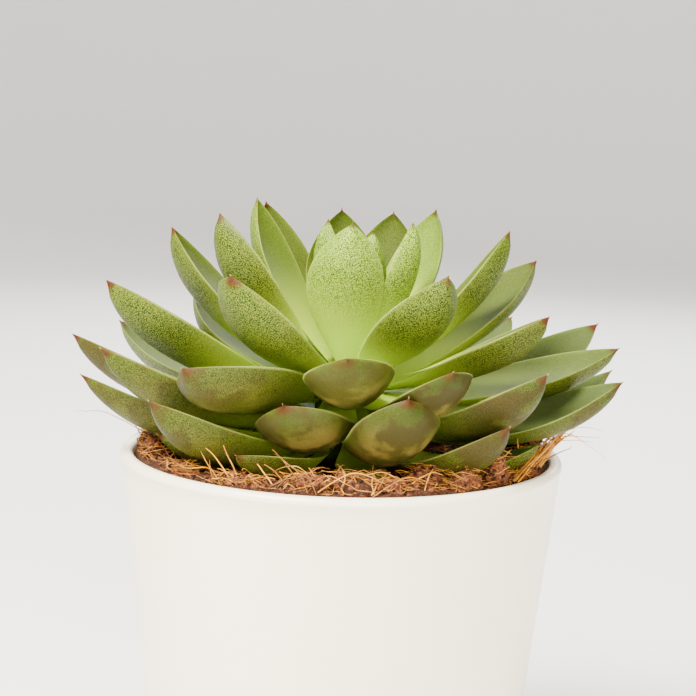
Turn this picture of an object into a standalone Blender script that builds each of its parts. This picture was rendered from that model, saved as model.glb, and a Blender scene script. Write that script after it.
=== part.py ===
"""Potted echeveria: a rosette of thick pointed leaves on a short stem, in a filled ceramic pot.

Run with: blender --background --python part.py

Lengths are in millimetres and angles in degrees until a mesh is written, when MM makes them metres.
+Z is up and -Y is the front. The geometry is worked out from the middle of the pot's rim, where
z = 0, and raised by POT_HEIGHT, so that the origin ends up in the middle of the pot's underside.
A "side" is a direction seen from above: 0 is the front, 90 the right and -90 the left.
"""

import math
import random
from dataclasses import dataclass

import bmesh
import bpy
from mathutils import Matrix, Vector, noise

MM = 0.001
CLEARANCE = 0.3

# Pot: a tapered cup with an evenly thick wall
RIM_RADIUS = 65.0
POT_HEIGHT = 115.0
POT_TAPER = 6.4
WALL = 4.0
FLOOR = 6.0
FOOT_ROUND = 2.5
COVE = 3.0
POT_SIDES = 56
RIM_CENTRE = Vector((0.0, 0.0, 0.0))
FOOT_CENTRE = Vector((0.0, 0.0, -POT_HEIGHT))

# Stem: a dome that carries the leaves, over a straight root stub
STEM_MIDDLE = Vector((2.0, 0.0, 20.0))
CROWN_HEIGHT = 31.0
LOW_LEAF_HEIGHT = 4.0
LOW_LEAF_AGE = 53.0
DROP_POWER = 0.85
BUD_RADIUS = 1.2
SHOULDER_GROWTH = 8.3
SHOULDER_AGE = 22.0
SHOULDER_POWER = 0.75
COVER = 0.5
STEM_FOOT = -3.6
STEM_SKIRT = ((8.0, 0.0), (10.0, 1.6))
STEM_LEVELS = (4.0, 12.0, 18.0, 20.5, 23.0, 25.0, 27.0, 28.5, 30.0, 31.0)
STEM_LEAN_SHARE = 0.5
STUB_RADIUS = 5.5
STUB_NECK = 0.4
STUB_CHAMFER = 1.5
STUB_DEPTH = 18.0
STEM_SIDES = 20

# Rosette: the leaves follow the golden angle round an axis that leans to the front right
GOLDEN_ANGLE = 137.508
FIRST_SIDE = -8.0
HEART_STEPS = 8
LEAN = 10.0
LEAN_SIDE = 25.0
TIP_AXIS = Vector((4.0, 0.0, 0.0))
ROOT_SWING = 0.7
BLADE_SWING = 0.85

# Leaf: how width, depth and curl follow the age, counted in leaves from the heart
WIDTH_BY_AGE = ((0, 9), (4, 14), (8, 21), (13, 23), (24, 25), (31, 25.5), (38, 25), (46, 23), (53, 19))
DEPTH_BY_AGE = ((0, 3), (4, 4), (8, 5), (13, 6), (18, 6.8), (24, 7.2), (31, 7.4), (38, 7.2), (46, 6.5), (53, 5.5))
CURL_BY_AGE = ((0, 12), (4, 16), (8, 24), (13, 34), (18, 40), (24, 44), (31, 44), (38, 42), (46, 36), (53, 30))
DEPTH_ALONG = ((0, 0.34), (0.15, 0.5), (0.4, 0.94), (0.6, 1.0), (0.8, 0.76), (0.93, 0.38), (1, 0))
DISH_ALONG = ((0, -0.06), (0.2, -0.02), (0.5, 0.06), (0.75, 0.12), (0.9, 0.09), (1, 0))
RINGS = 8
RING_HALF = 4
TIP_CROWDING = 1.25
WIDEST_AT = 0.58
ROOT_WIDTH = 0.22
ROOT_POWER = 1.5
TIP_POWER = 2.0
TIP_SLIMMING = 0.22
BLUNT_SHIFT = 0.12
BLUNT_POWER = 0.6
FACE_SHARE = 0.35
UNDERSIDE_POWERS = (2.1, 0.85)
SEAT_REACH = 9.0
SEAT_HALVINGS = 24

# Soil: coir that fills the pot, lower under the leaves and heaped against the rim at both sides
SOIL_HOLLOW = -5.0
SOIL_RIM = -0.8
SOIL_EDGE = -1.6
SOIL_COVE = 3.5
SOIL_RINGS = (11.0, 17.0, 24.0, 31.0, 38.0, 44.0, 48.0, 51.5, 55.0, 58.0)
STEM_RINGS_END = 24.0
HOLLOW_RADIUS = 46.0
SLOPE_WIDTH = 9.0
HEAP_HEIGHT = 5.0
HEAP_SPREAD = 13.0
HEAP_EDGE = 61.5
HEAP_FADE = 4.0
HEAP_SIDES = (-92.0, 92.0)
RELIEF_SCALES = (0.16, 0.4)
RELIEF_HEIGHT = 0.5

# Coir: lumps and coarse three-sided fibres
CHUNK_ROUGHNESS = 0.3
CHUNK_GRAIN = 1.4
STRAND_THICK = 0.8
STRAND_STEPS = 6
STRAND_SINK = 1.6
STRAND_SWING = 0.12
STRAND_ENDS = (1.15, 0.8)
STREWN_STRANDS = 26
STREWN_RADII = (51.0, 57.5)
STREWN_TURNS = (7.0, 14.0)
STREWN_ARCHES = (1.2, 2.0)
STREWN_SINK = 0.9


@dataclass
class Leaf:
    """One leaf: its step on the spiral, where its tip lies, and how it differs from its neighbours."""

    step: int
    side: float
    reach: float
    height: float
    wide: float = 1.0
    thick: float = 1.0
    curl: float = 0.0
    roll: float = 0.0
    sag: float = 0.0
    lift: float = 0.0
    turn: float = 0.0
    bow: float = 0.0
    blunt: float = 0.0
    dish: float = 1.0


LEAVES = [
    # The heart
    Leaf(-8, 0, 2, 52, wide=0.8, thick=0.7),
    Leaf(-7, 120, 3, 54, thick=0.8),
    Leaf(-6, -100, 5, 56),
    Leaf(-5, 24, 8, 66),
    Leaf(-4, 165, 9, 59),
    Leaf(-3, -63, 11, 68.5),
    Leaf(-2, 65, 16, 68.5),
    Leaf(-1, -150, 13, 60),
    # The upright leaves round the heart
    Leaf(0, -10, 16, 67, wide=1.08, bow=-1.6),
    Leaf(1, 125, 27, 71),
    Leaf(2, -112, 34, 73, wide=0.95, roll=2),
    Leaf(3, 30, 47, 57, wide=1.12, bow=-0.8),
    Leaf(4, -165, 24, 70),
    Leaf(5, -38, 57, 54.5, wide=1.36, roll=-4, sag=-1, turn=8, bow=1.5, blunt=0.6),
    Leaf(6, 88, 43, 66.5, wide=0.9, curl=-12, roll=-8),
    Leaf(7, -135, 42, 71),
    Leaf(8, -3.2, 62, 36.9, wide=1.04, curl=4, roll=12, lift=0.4, blunt=1, dish=1),
    Leaf(9, 163, 34, 69),
    Leaf(10, -71, 43, 70, wide=1.15, thick=0.88, curl=-16, roll=13, lift=1, turn=-10),
    Leaf(11, 62, 59.6, 45, curl=-8, sag=2.2),
    Leaf(12, -152, 50, 58, thick=0.96),
    # The open leaves of the middle turns
    Leaf(13, -22, 54, 22.1, wide=1.08, thick=0.76, curl=46, roll=20, sag=-1, lift=0.4, turn=4, blunt=1),
    Leaf(14, 112, 58, 56, wide=0.95, curl=-18, sag=1.5),
    Leaf(15, -107, 60, 63, curl=-16, roll=14),
    Leaf(16, 23, 63, 33.5, wide=0.93, thick=0.76, curl=8, roll=10, lift=2, blunt=1),
    Leaf(17, 178, 55, 52),
    Leaf(18, -42, 70.5, 31.2, wide=1.12, thick=0.86, curl=18, roll=22, sag=5.2, lift=1, turn=-12.5),
    Leaf(19, 88, 76.6, 33.2, thick=0.8, curl=-10, roll=1, sag=1.6),
    Leaf(20, -128, 66, 43, roll=10),
    Leaf(21, 13, 59, 26.4, wide=0.98, thick=0.84, curl=44, roll=4, sag=-1.6, blunt=1),
    Leaf(22, 136, 72, 34.5, sag=4.9, lift=2.2),
    Leaf(23, -85, 74, 49, wide=1.12, thick=0.96, curl=-14, roll=26, sag=1, lift=-1.3),
    Leaf(24, 47, 69.3, 32, wide=1.05, thick=0.86, curl=-8, roll=-6, sag=-3),
    Leaf(25, -170, 72, 46, thick=0.85),
    Leaf(27, 111, 80, 36.5, thick=0.74, curl=-6, roll=10, sag=-3.15),
    Leaf(28, -118, 86, 31, thick=0.87, roll=6, sag=1),
    # The low outer turns
    Leaf(30, 157, 76, 36, thick=0.82, sag=-0.4),
    Leaf(31, -70, 77, 32, thick=0.68, curl=-8, roll=21, sag=-1.4, lift=-3),
    Leaf(32, 75, 78, 26.2, thick=0.85, curl=-6, roll=6, sag=-2),
    Leaf(33, -150, 77, 36, thick=0.85),
    Leaf(35, 125, 75, 22, thick=0.82, sag=-0.1),
    Leaf(36, -95, 86, 31, thick=0.8, curl=-10, roll=26, sag=-1.5),
    Leaf(37, 39, 65, 18, wide=1.05, thick=0.62, roll=-3, sag=-4.2, lift=-1),
    Leaf(38, -178, 68, 19, thick=0.8),
    Leaf(39, -52, 72, 20.9, wide=1.1, thick=0.75, curl=14, roll=26.5, sag=-3.0, lift=-0.2),
    Leaf(40, 97, 77.3, 25, thick=0.7, sag=-4.1),
    Leaf(41, -134, 76, 19, thick=0.75),
    Leaf(42, 6, 48, 3, wide=0.7, thick=0.7, sag=-1.2),
    Leaf(43, 144, 66, 13, thick=0.76),
    Leaf(44, -78, 81.2, 23, wide=1.05, thick=0.6, roll=26, sag=-3.2, lift=-1),
    Leaf(45, 58, 61, 10, wide=0.9, thick=0.58, curl=-8, roll=6, sag=-4.5, lift=-1),
    Leaf(46, -164, 62, 9, thick=0.7, sag=-1),
    Leaf(47, -32, 61, 8, wide=0.85, thick=0.6, curl=-14, roll=12, sag=-3.2, lift=-1),
    Leaf(49, -112, 64, 9, thick=0.8, sag=-0.6),
    Leaf(51, 168, 54, 4, thick=0.7, sag=-1.3),
    Leaf(52, -65, 62, 8, wide=0.8, thick=0.5, curl=-12, sag=-4.1, lift=-1),
]


@dataclass
class Chunk:
    """A lump of coir pith: where it lies, how far it rises out of the soil and its half sizes."""

    side: float
    radius: float
    rise: float
    wide: float
    deep: float
    tall: float


CHUNKS = [
    Chunk(48, 57.8, 0.5, 4.0, 2.3, 3.7),
    Chunk(36, 56.6, 0.2, 4.4, 2.8, 2.6),
    Chunk(24, 51.0, 0.0, 5.2, 4.0, 2.6),
    Chunk(14, 55.5, 0.2, 4.0, 3.2, 2.2),
    Chunk(66, 57.4, 0.2, 4.0, 2.6, 2.6),
    Chunk(104, 57.6, -0.2, 3.8, 2.4, 2.4),
    Chunk(-8, 54.0, 0.0, 4.4, 3.4, 2.0),
    Chunk(-28, 55.5, 0.1, 4.0, 3.0, 2.0),
    Chunk(-50, 56.0, 0.0, 4.6, 2.8, 2.0),
    Chunk(-76, 56.5, 0.4, 4.0, 2.8, 3.0),
    Chunk(-93, 56.0, 0.8, 4.2, 3.0, 3.4),
    Chunk(-128, 55.0, 0.2, 4.8, 3.6, 2.4),
    Chunk(-160, 54.5, 0.2, 4.4, 3.6, 2.4),
    Chunk(172, 55.5, 0.0, 4.0, 3.4, 2.2),
    Chunk(140, 55.0, 0.3, 4.8, 3.6, 2.6),
    Chunk(118, 56.0, 0.2, 4.2, 3.0, 2.6),
]


@dataclass
class Strand:
    """A coarse coir fibre from a root in the soil to its free end, and how high it arches between."""

    side: float
    radius: float
    end_side: float
    end_radius: float
    end_height: float
    arch: float = 1.0


STRANDS = [
    # At the front
    Strand(-36, 56.0, -43, 58.0, 2.6, 0.8),
    Strand(-9, 52.0, -19, 53.0, 2.2, 1.0),
    Strand(-14, 55.0, -26, 57.0, 2.4, 1.2),
    Strand(20, 54.0, 8, 57.0, 2.4, 1.6),
    Strand(41, 57.0, 33.5, 59.5, 2.8, 0.8),
    Strand(68, 57.0, 62.5, 59.5, 2.6, 0.8),
    # On the heap at the left
    Strand(-80, 56.0, -92, 59.5, 5.4, 1.2),
    Strand(-98, 56.0, -86, 59.0, 5.2, 1.4),
    Strand(-74, 57.0, -84, 59.0, 4.6, 0.6),
    Strand(-66, 57.0, -74, 59.5, 2.2, 0.8),
]

# Tuft: straight fibres that fan out over the rim at the right, from a knot on the heap
TUFT_KNOT = Chunk(86, 56.3, 1.65, 3.6, 2.2, 1.6)
TUFT_STRANDS = [
    Strand(84.5, 56.0, 79, 64.0, 5.4, 1.0),
    Strand(85.0, 56.5, 84, 67.5, 7.0, 0.8),
    Strand(86.0, 56.5, 88, 69.5, 9.0, 0.6),
    Strand(87.0, 56.5, 91, 70.0, 6.4, 1.0),
    Strand(87.5, 56.5, 94, 72.0, 4.6, 1.6),
    Strand(88.0, 56.0, 97, 66.0, 5.2, 1.2),
]


# Helpers


def between(value, points):
    """The value interpolated along (place, value) pairs."""
    if value <= points[0][0]:
        return float(points[0][1])
    for (place, low), (end, high) in zip(points, points[1:]):
        if value <= end:
            return low + (high - low) * (value - place) / (end - place)
    return float(points[-1][1])


def heading(side):
    """The level unit vector that points to a side."""
    turn = math.radians(side)
    return Vector((math.sin(turn), -math.cos(turn), 0.0))


def polar(side, radius, height):
    """The point at a side, a radius and a height over the rim."""
    point = heading(side) * radius
    point.z = height
    return point


def signed_turn(turn):
    """The same turn between -180 and 180 degrees."""
    return (turn + 180.0) % 360.0 - 180.0


def clear_scene():
    """Remove every object that Blender starts with."""
    for item in list(bpy.data.objects):
        bpy.data.objects.remove(item)


def material(name, colour, roughness, coat=0.0):
    """A Principled material."""
    made = bpy.data.materials.new(name)
    made.use_nodes = True
    shader = made.node_tree.nodes["Principled BSDF"]
    shader.inputs["Base Color"].default_value = (*colour, 1.0)
    shader.inputs["Roughness"].default_value = roughness
    shader.inputs["Coat Weight"].default_value = coat
    made.diffuse_color = (*colour, 1.0)
    return made


def add_object(name, shape, look, origin=RIM_CENTRE, smooth=True):
    """Link a bmesh in millimetres as a named object whose origin is the given point over the rim."""
    shape.transform(Matrix.Scale(MM, 4) @ Matrix.Translation(-origin))
    bmesh.ops.recalc_face_normals(shape, faces=shape.faces)
    for face in shape.faces:
        face.smooth = smooth
    mesh = bpy.data.meshes.new(name)
    shape.to_mesh(mesh)
    shape.free()
    mesh.materials.append(look)
    item = bpy.data.objects.new(name, mesh)
    item.location = (origin - FOOT_CENTRE) * MM
    bpy.context.scene.collection.objects.link(item)
    return item


def skin_rings(shape, rings, first_cap, last_cap):
    """Join rings of points into one closed tube, with a point as the middle of each cap."""
    rows = [[shape.verts.new(point) for point in ring] for ring in rings]
    count = len(rows[0])
    for row, following in zip(rows, rows[1:]):
        for index in range(count):
            after = (index + 1) % count
            shape.faces.new((row[index], row[after], following[after], following[index]))
    start = shape.verts.new(first_cap)
    end = shape.verts.new(last_cap)
    for index in range(count):
        after = (index + 1) % count
        shape.faces.new((start, rows[0][after], rows[0][index]))
        shape.faces.new((end, rows[-1][index], rows[-1][after]))


def lathe(profile, sides, middle_of=None):
    """A closed round body from (radius, height) points that start and end on its axis."""
    shape = bmesh.new()
    rings = []
    for radius, height in profile[1:-1]:
        middle = middle_of(height) if middle_of else Vector((0.0, 0.0, height))
        rings.append([middle + heading(360.0 * index / sides) * radius for index in range(sides)])
    caps = []
    for _, height in (profile[0], profile[-1]):
        caps.append(middle_of(height) if middle_of else Vector((0.0, 0.0, height)))
    skin_rings(shape, rings, *caps)
    return shape


# Pot


def outer_radius(height):
    """The radius of the pot's outside at a height over the rim."""
    return RIM_RADIUS + height * math.tan(math.radians(POT_TAPER))


def inner_radius(height):
    """The radius of the pot's inside at a height over the rim."""
    return outer_radius(height) - WALL


def arc(middle, radius, start, stop, steps):
    """Points of an arc in the (radius, height) plane."""
    points = []
    for index in range(steps + 1):
        turn = math.radians(start + (stop - start) * index / steps)
        points.append((middle[0] + radius * math.cos(turn), middle[1] + radius * math.sin(turn)))
    return points


def build_pot():
    """The tapered cup with its rounded lip and foot."""
    half_wall = WALL / 2
    floor_height = FLOOR - POT_HEIGHT
    foot = (outer_radius(-POT_HEIGHT) - FOOT_ROUND, FOOT_ROUND - POT_HEIGHT)
    lip = (RIM_RADIUS - half_wall, -half_wall)
    cove_middle = (inner_radius(floor_height + COVE) - COVE, floor_height + COVE)
    profile = [(0.0, -POT_HEIGHT)]
    profile += arc(foot, FOOT_ROUND, -90.0, -POT_TAPER, 3)
    profile += arc(lip, half_wall, -POT_TAPER, 180.0 - POT_TAPER, 6)
    profile += arc(cove_middle, COVE, 0.0, -90.0, 2)
    profile.append((0.0, floor_height))
    glaze = material("ceramic", (0.90, 0.86, 0.78), 0.25, 0.5)
    return add_object("pot", lathe(profile, POT_SIDES), glaze, FOOT_CENTRE)


# Stem


def stem_middle(height):
    """The middle of the leaning stem at a height over the rim."""
    shift = math.tan(math.radians(LEAN)) * (height - STEM_MIDDLE.z) * STEM_LEAN_SHARE
    middle = Vector((STEM_MIDDLE.x, STEM_MIDDLE.y, height))
    return middle + heading(LEAN_SIDE) * shift


def root_radius(age):
    """How far from the stem's middle a leaf of this age is rooted."""
    return BUD_RADIUS + SHOULDER_GROWTH * min(1.0, age / SHOULDER_AGE) ** SHOULDER_POWER


def stem_radius(height):
    """The radius of the stem's dome at a height over the rim."""
    drop = (CROWN_HEIGHT - height) / (CROWN_HEIGHT - LOW_LEAF_HEIGHT)
    age = LOW_LEAF_AGE * max(0.0, drop) ** (1.0 / DROP_POWER)
    dome_top = CROWN_HEIGHT + COVER
    if height >= CROWN_HEIGHT:
        return max(0.0, (dome_top - height) / COVER) * (BUD_RADIUS + COVER)
    return root_radius(age) + COVER


def build_stem():
    """The dome under the leaves and the straight stub that stands in the soil."""
    bark = material("stem", (0.32, 0.36, 0.14), 0.7)
    stub_middle = stem_middle(STEM_FOOT)
    profile = [(0.0, -STUB_DEPTH), (STUB_RADIUS - STUB_CHAMFER, -STUB_DEPTH)]
    profile += [(STUB_RADIUS, STUB_CHAMFER - STUB_DEPTH), (STUB_RADIUS, STEM_FOOT - STUB_NECK)]
    profile += [(radius, STEM_FOOT + rise) for radius, rise in STEM_SKIRT]
    profile += [(stem_radius(height), height) for height in STEM_LEVELS]
    profile.append((0.0, CROWN_HEIGHT + COVER))

    def middle_of(height):
        if height < STEM_FOOT:
            return Vector((stub_middle.x, stub_middle.y, height))
        return stem_middle(height)

    return add_object("stem", lathe(profile, STEM_SIDES, middle_of), bark, stub_middle)


# Leaves


def lean_height(side, radius):
    """How much the leaning rosette raises a point at this side and radius."""
    return -math.tan(math.radians(LEAN)) * radius * math.cos(math.radians(side - LEAN_SIDE))


def half_width(along, width, blunt):
    """Half the blade's width at a share of its length: narrow root, wide shoulder, pointed tip."""
    widest = WIDEST_AT + BLUNT_SHIFT * blunt
    if along < widest:
        swell = math.sin(math.pi / 2 * along / widest) ** ROOT_POWER
        share = ROOT_WIDTH + (1.0 - ROOT_WIDTH) * swell
    else:
        rest = (along - widest) / (1.0 - widest)
        share = (1.0 - rest ** (TIP_POWER + BLUNT_POWER * blunt)) * (1.0 - TIP_SLIMMING * rest**4)
    return width / 2 * share


class Blade:
    """The arc that a leaf follows from the stem to its tip, and its section along it."""

    def __init__(self, leaf):
        self.leaf = leaf
        self.age = leaf.step + HEART_STEPS
        self.width = between(self.age, WIDTH_BY_AGE) * leaf.wide
        self.depth = between(self.age, DEPTH_BY_AGE) * leaf.thick
        self.half_curl = math.radians(between(self.age, CURL_BY_AGE) + leaf.curl) / 2
        spiral_side = FIRST_SIDE + GOLDEN_ANGLE * leaf.step
        swing = signed_turn(leaf.side - spiral_side)
        self.root_side = spiral_side + ROOT_SWING * swing + leaf.turn
        self.root = self.root_point()
        tip = TIP_AXIS + polar(leaf.side, leaf.reach, leaf.height)
        chord = tip - self.root
        self.tip = tip
        self.chord = chord.length
        self.forward = chord.normalized()
        self.set_cross_axes(spiral_side + BLADE_SWING * swing)

    def root_point(self):
        """Where the leaf's arc starts, just inside the stem."""
        drop = (self.age / LOW_LEAF_AGE) ** DROP_POWER
        height = CROWN_HEIGHT + (LOW_LEAF_HEIGHT - CROWN_HEIGHT) * drop
        radius = root_radius(self.age)
        height += lean_height(self.root_side, radius) + self.leaf.lift
        return stem_middle(height) + heading(self.root_side) * radius

    def set_cross_axes(self, side):
        """The blade's level axis and the axis out of its upper face, turned by its roll."""
        lean_axis = Vector((0.0, 0.0, 1.0)).cross(heading(LEAN_SIDE))
        across = Matrix.Rotation(math.radians(LEAN), 3, lean_axis) @ heading(side + 90.0)
        across = (across - self.forward * across.dot(self.forward)).normalized()
        up = self.forward.cross(across)
        inward = -heading(side) + Vector((0.0, 0.0, 0.3))
        if up.dot(inward) < 0:
            up = -up
        turn = math.radians(self.leaf.roll)
        self.across = across * math.cos(turn) + up * math.sin(turn)
        self.up = up * math.cos(turn) - across * math.sin(turn)

    def frame_at(self, along):
        """The point of the arc at a share of its length, with its direction and its upward axis."""
        turn = self.half_curl * (2.0 * along - 1.0)
        full = 2.0 * math.sin(self.half_curl)
        forward = self.chord * (0.5 + math.sin(turn) / full)
        rise = self.chord * (math.cos(self.half_curl) - math.cos(turn)) / full
        rise += self.leaf.sag * math.sin(math.pi * along)
        aside = self.leaf.bow * math.sin(math.pi * along)
        point = self.root + self.forward * forward + self.up * rise + self.across * aside
        direction = self.forward * math.cos(turn) + self.up * math.sin(turn)
        upward = self.up * math.cos(turn) - self.forward * math.sin(turn)
        return point, direction, upward

    def ring(self, along):
        """The section at a share of the length: a dished upper face and a full underside."""
        point, _, upward = self.frame_at(along)
        wide = half_width(along, self.width, self.leaf.blunt)
        deep = self.depth * between(along, DEPTH_ALONG)
        dish = self.width * between(along, DISH_ALONG) * self.leaf.dish
        edge_power, belly_power = UNDERSIDE_POWERS
        points = []
        for index in range(2 * RING_HALF):
            across = math.cos(math.pi * index / RING_HALF)
            level = deep * FACE_SHARE - dish * (1.0 - across * across)
            if index > RING_HALF:
                level -= deep * (1.0 - abs(across) ** edge_power) ** belly_power
            points.append(point + self.across * wide * across + upward * level)
        return points

    def seat(self, point, direction):
        """The point moved along the leaf until it is the clearance away from the stem."""
        inside = -SEAT_REACH
        outside = SEAT_REACH
        for _ in range(SEAT_HALVINGS):
            middle = (inside + outside) / 2
            moved = point + direction * middle
            level = stem_middle(moved.z)
            gap = (moved - level).length - stem_radius(moved.z)
            if gap < 2 * CLEARANCE:
                inside = middle
            else:
                outside = middle
        return point + direction * outside

    def mesh(self):
        """The leaf as one closed bmesh."""
        stations = [1.0 - (1.0 - index / RINGS) ** TIP_CROWDING for index in range(RINGS)]
        rings = [self.ring(along) for along in stations]
        start, direction, _ = self.frame_at(0.0)
        rings[0] = [self.seat(point, direction) for point in rings[0]]
        shape = bmesh.new()
        skin_rings(shape, rings, self.seat(start, direction), self.tip)
        return shape


def leaf_colour(blade):
    """Bright yellow-green in the heart, greyer on the old leaves and at the back."""
    age = min(1.0, blade.age / 40.0)
    back = 0.5 - 0.5 * math.cos(math.radians(blade.leaf.side))
    young = Vector((0.40, 0.53, 0.17))
    old = Vector((0.33, 0.43, 0.16))
    grey = Vector((0.36, 0.45, 0.26))
    return tuple(young.lerp(old, age).lerp(grey, 0.6 * back))


def build_leaves():
    """Every leaf as its own object, numbered from the heart outwards."""
    for number, leaf in enumerate(LEAVES, start=1):
        name = f"leaf_{number:02d}"
        blade = Blade(leaf)
        add_object(name, blade.mesh(), material(name, leaf_colour(blade), 0.5), blade.root)


# Soil


def soil_height(side, radius):
    """The height over the rim of the soil's surface, with its heaps and its rough relief."""
    slope = min(1.0, max(0.0, (radius - HOLLOW_RADIUS) / SLOPE_WIDTH))
    slope = slope * slope * (3.0 - 2.0 * slope)
    height = SOIL_HOLLOW + (SOIL_RIM - SOIL_HOLLOW) * slope
    for heap_side in HEAP_SIDES:
        away = signed_turn(side - heap_side) / HEAP_SPREAD
        fade = min(1.0, (HEAP_EDGE - radius) / HEAP_FADE)
        height += HEAP_HEIGHT * math.exp(-away * away) * slope * fade
    place = polar(side, radius, 0.0)
    swells, lumps = (noise.noise(place * scale) for scale in RELIEF_SCALES)
    return height + RELIEF_HEIGHT * (1.0 + slope) * (swells + 0.5 * lumps)


def soil_body():
    """The filling of the pot, with the hole for the stem's stub."""
    stub = stem_middle(STEM_FOOT)
    shape = bmesh.new()
    hole_radius = STUB_RADIUS + CLEARANCE
    hole_floor = -STUB_DEPTH - CLEARANCE
    bottom = FLOOR - POT_HEIGHT + CLEARANCE
    rings = []
    sides = [360.0 * index / POT_SIDES for index in range(POT_SIDES)]
    for height in (hole_floor, SOIL_HOLLOW):
        rings.append([Vector((stub.x, stub.y, height)) + heading(side) * hole_radius for side in sides])
    for radius in SOIL_RINGS:
        blend = max(0.0, 1.0 - radius / STEM_RINGS_END)
        ring = []
        for side in sides:
            point = polar(side, radius, soil_height(side, radius))
            ring.append(point + Vector((stub.x, stub.y, 0.0)) * blend)
        rings.append(ring)
    for height, inset in ((SOIL_EDGE, 0.0), (bottom + SOIL_COVE, 0.0), (bottom, SOIL_COVE)):
        radius = inner_radius(height) - CLEARANCE - inset
        rings.append([polar(side, radius, height) for side in sides])
    top = Vector((stub.x, stub.y, hole_floor))
    skin_rings(shape, rings, top, Vector((0.0, 0.0, bottom)))
    return shape


def chunk_middle(chunk):
    """The middle of a lump."""
    return polar(chunk.side, chunk.radius, soil_height(chunk.side, chunk.radius) + chunk.rise)


def chunk_body(chunk, seed):
    """A lump with a rough surface."""
    shape = bmesh.new()
    bmesh.ops.create_icosphere(shape, subdivisions=2, radius=1.0)
    offset = Vector((seed * 7.3, 0.0, 0.0))
    for vertex in shape.verts:
        swell = 1.0 + CHUNK_ROUGHNESS * noise.noise(vertex.co * CHUNK_GRAIN + offset)
        size = (chunk.wide, chunk.deep, chunk.tall)
        vertex.co = Vector(part * half for part, half in zip(vertex.co, size)) * swell
    turned = Matrix.Rotation(math.radians(chunk.side), 4, "Z")
    shape.transform(Matrix.Translation(chunk_middle(chunk)) @ turned)
    return shape


def strand_body(strand, start_height, seed):
    """A three-sided tube that follows the strand's arch and thins towards its end."""
    start = polar(strand.side, strand.radius, start_height)
    end = polar(strand.end_side, strand.end_radius, strand.end_height)
    reach = end - start
    aside = reach.cross(Vector((0.0, 0.0, 1.0))).normalized()
    above = aside.cross(reach).normalized()
    wave = noise.noise(Vector((seed * 3.7, 0.5, 0.5))) * STRAND_SWING * reach.length
    rings = []
    for index in range(STRAND_STEPS + 1):
        along = index / STRAND_STEPS
        bulge = math.sin(math.pi * along)
        point = start + reach * along + Vector((0.0, 0.0, strand.arch)) * bulge
        point += aside * wave * math.sin(2.0 * math.pi * along)
        first, last = STRAND_ENDS
        radius = STRAND_THICK / 2 * (first + (last - first) * along)
        turns = [math.radians(90.0 + 120.0 * corner) for corner in range(3)]
        rings.append([point + (aside * math.cos(t) + above * math.sin(t)) * radius for t in turns])
    shape = bmesh.new()
    skin_rings(shape, rings, start, end)
    return shape


def strewn_strands():
    """Strands strewn over the soil in front of the leaves and round the rim, both ends sunk."""
    chance = random.Random(11)
    strewn = []
    for _ in range(STREWN_STRANDS):
        side = chance.uniform(-180.0, 180.0)
        radius = chance.uniform(*STREWN_RADII)
        end_side = side + chance.choice((-1, 1)) * chance.uniform(*STREWN_TURNS)
        end_radius = chance.uniform(*STREWN_RADII)
        end_height = soil_height(end_side, end_radius) - STREWN_SINK
        arch = chance.uniform(*STREWN_ARCHES)
        strewn.append(Strand(side, radius, end_side, end_radius, end_height, arch))
    return strewn


def join_shapes(body, name, shapes, look):
    """Join shapes to a body with a Boolean that keeps them in a collection of their own."""
    joined = bpy.data.collections.new(name)
    bpy.context.scene.collection.children.link(joined)
    for number, shape in enumerate(shapes):
        piece = add_object(f"{name}_{number:02d}", shape, look, smooth=False)
        bpy.context.scene.collection.objects.unlink(piece)
        joined.objects.link(piece)
        piece.hide_render = True
        piece.display_type = "WIRE"
    join = body.modifiers.new(f"join_{name}", "BOOLEAN")
    join.operation = "UNION"
    join.operand_type = "COLLECTION"
    join.collection = joined
    join.solver = "EXACT"
    return body


def build_soil():
    """The coir filling, with its lumps and coarse fibres joined to it."""
    coir = material("soil", (0.18, 0.10, 0.055), 0.95)
    shapes = [chunk_body(chunk, seed) for seed, chunk in enumerate(CHUNKS)]
    for seed, strand in enumerate(STRANDS + strewn_strands()):
        start_height = soil_height(strand.side, strand.radius) - STRAND_SINK
        shapes.append(strand_body(strand, start_height, seed))
    soil = add_object("soil", soil_body(), coir, smooth=False)
    return join_shapes(soil, "loose_coir", shapes, coir)


def build_tuft():
    """The knot of coir on the right heap, with the straight fibres that lean over the rim."""
    straw = material("tuft", (0.45, 0.30, 0.15), 0.8)
    height = chunk_middle(TUFT_KNOT).z
    shapes = [strand_body(strand, height, seed) for seed, strand in enumerate(TUFT_STRANDS)]
    middle = chunk_middle(TUFT_KNOT)
    tuft = add_object("tuft", chunk_body(TUFT_KNOT, len(CHUNKS)), straw, middle, smooth=False)
    return join_shapes(tuft, "tuft_fibres", shapes, straw)


def main():
    """Build every part of the potted plant."""
    clear_scene()
    build_pot()
    build_soil()
    build_tuft()
    build_stem()
    build_leaves()


if __name__ == "__main__":
    main()
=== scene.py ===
"""Potted echeveria: the looks of a rosette succulent in a white glazed pot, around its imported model.

Each class below is one sub-assembly of the plant or one of its finishes. Lengths are in millimetres
and angles in degrees until a mesh is finished, when it goes to metres. The rosette is worked out
from the middle of the pot's rim. A "side" is a direction seen from above: 0 is the front, 90 the
right and -90 the left.
"""

import logging
import math
import random
from collections.abc import Callable
from dataclasses import dataclass, field
from enum import Enum

import bmesh
import bpy
import numpy as np
from mathutils import Matrix, Vector, noise


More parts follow.
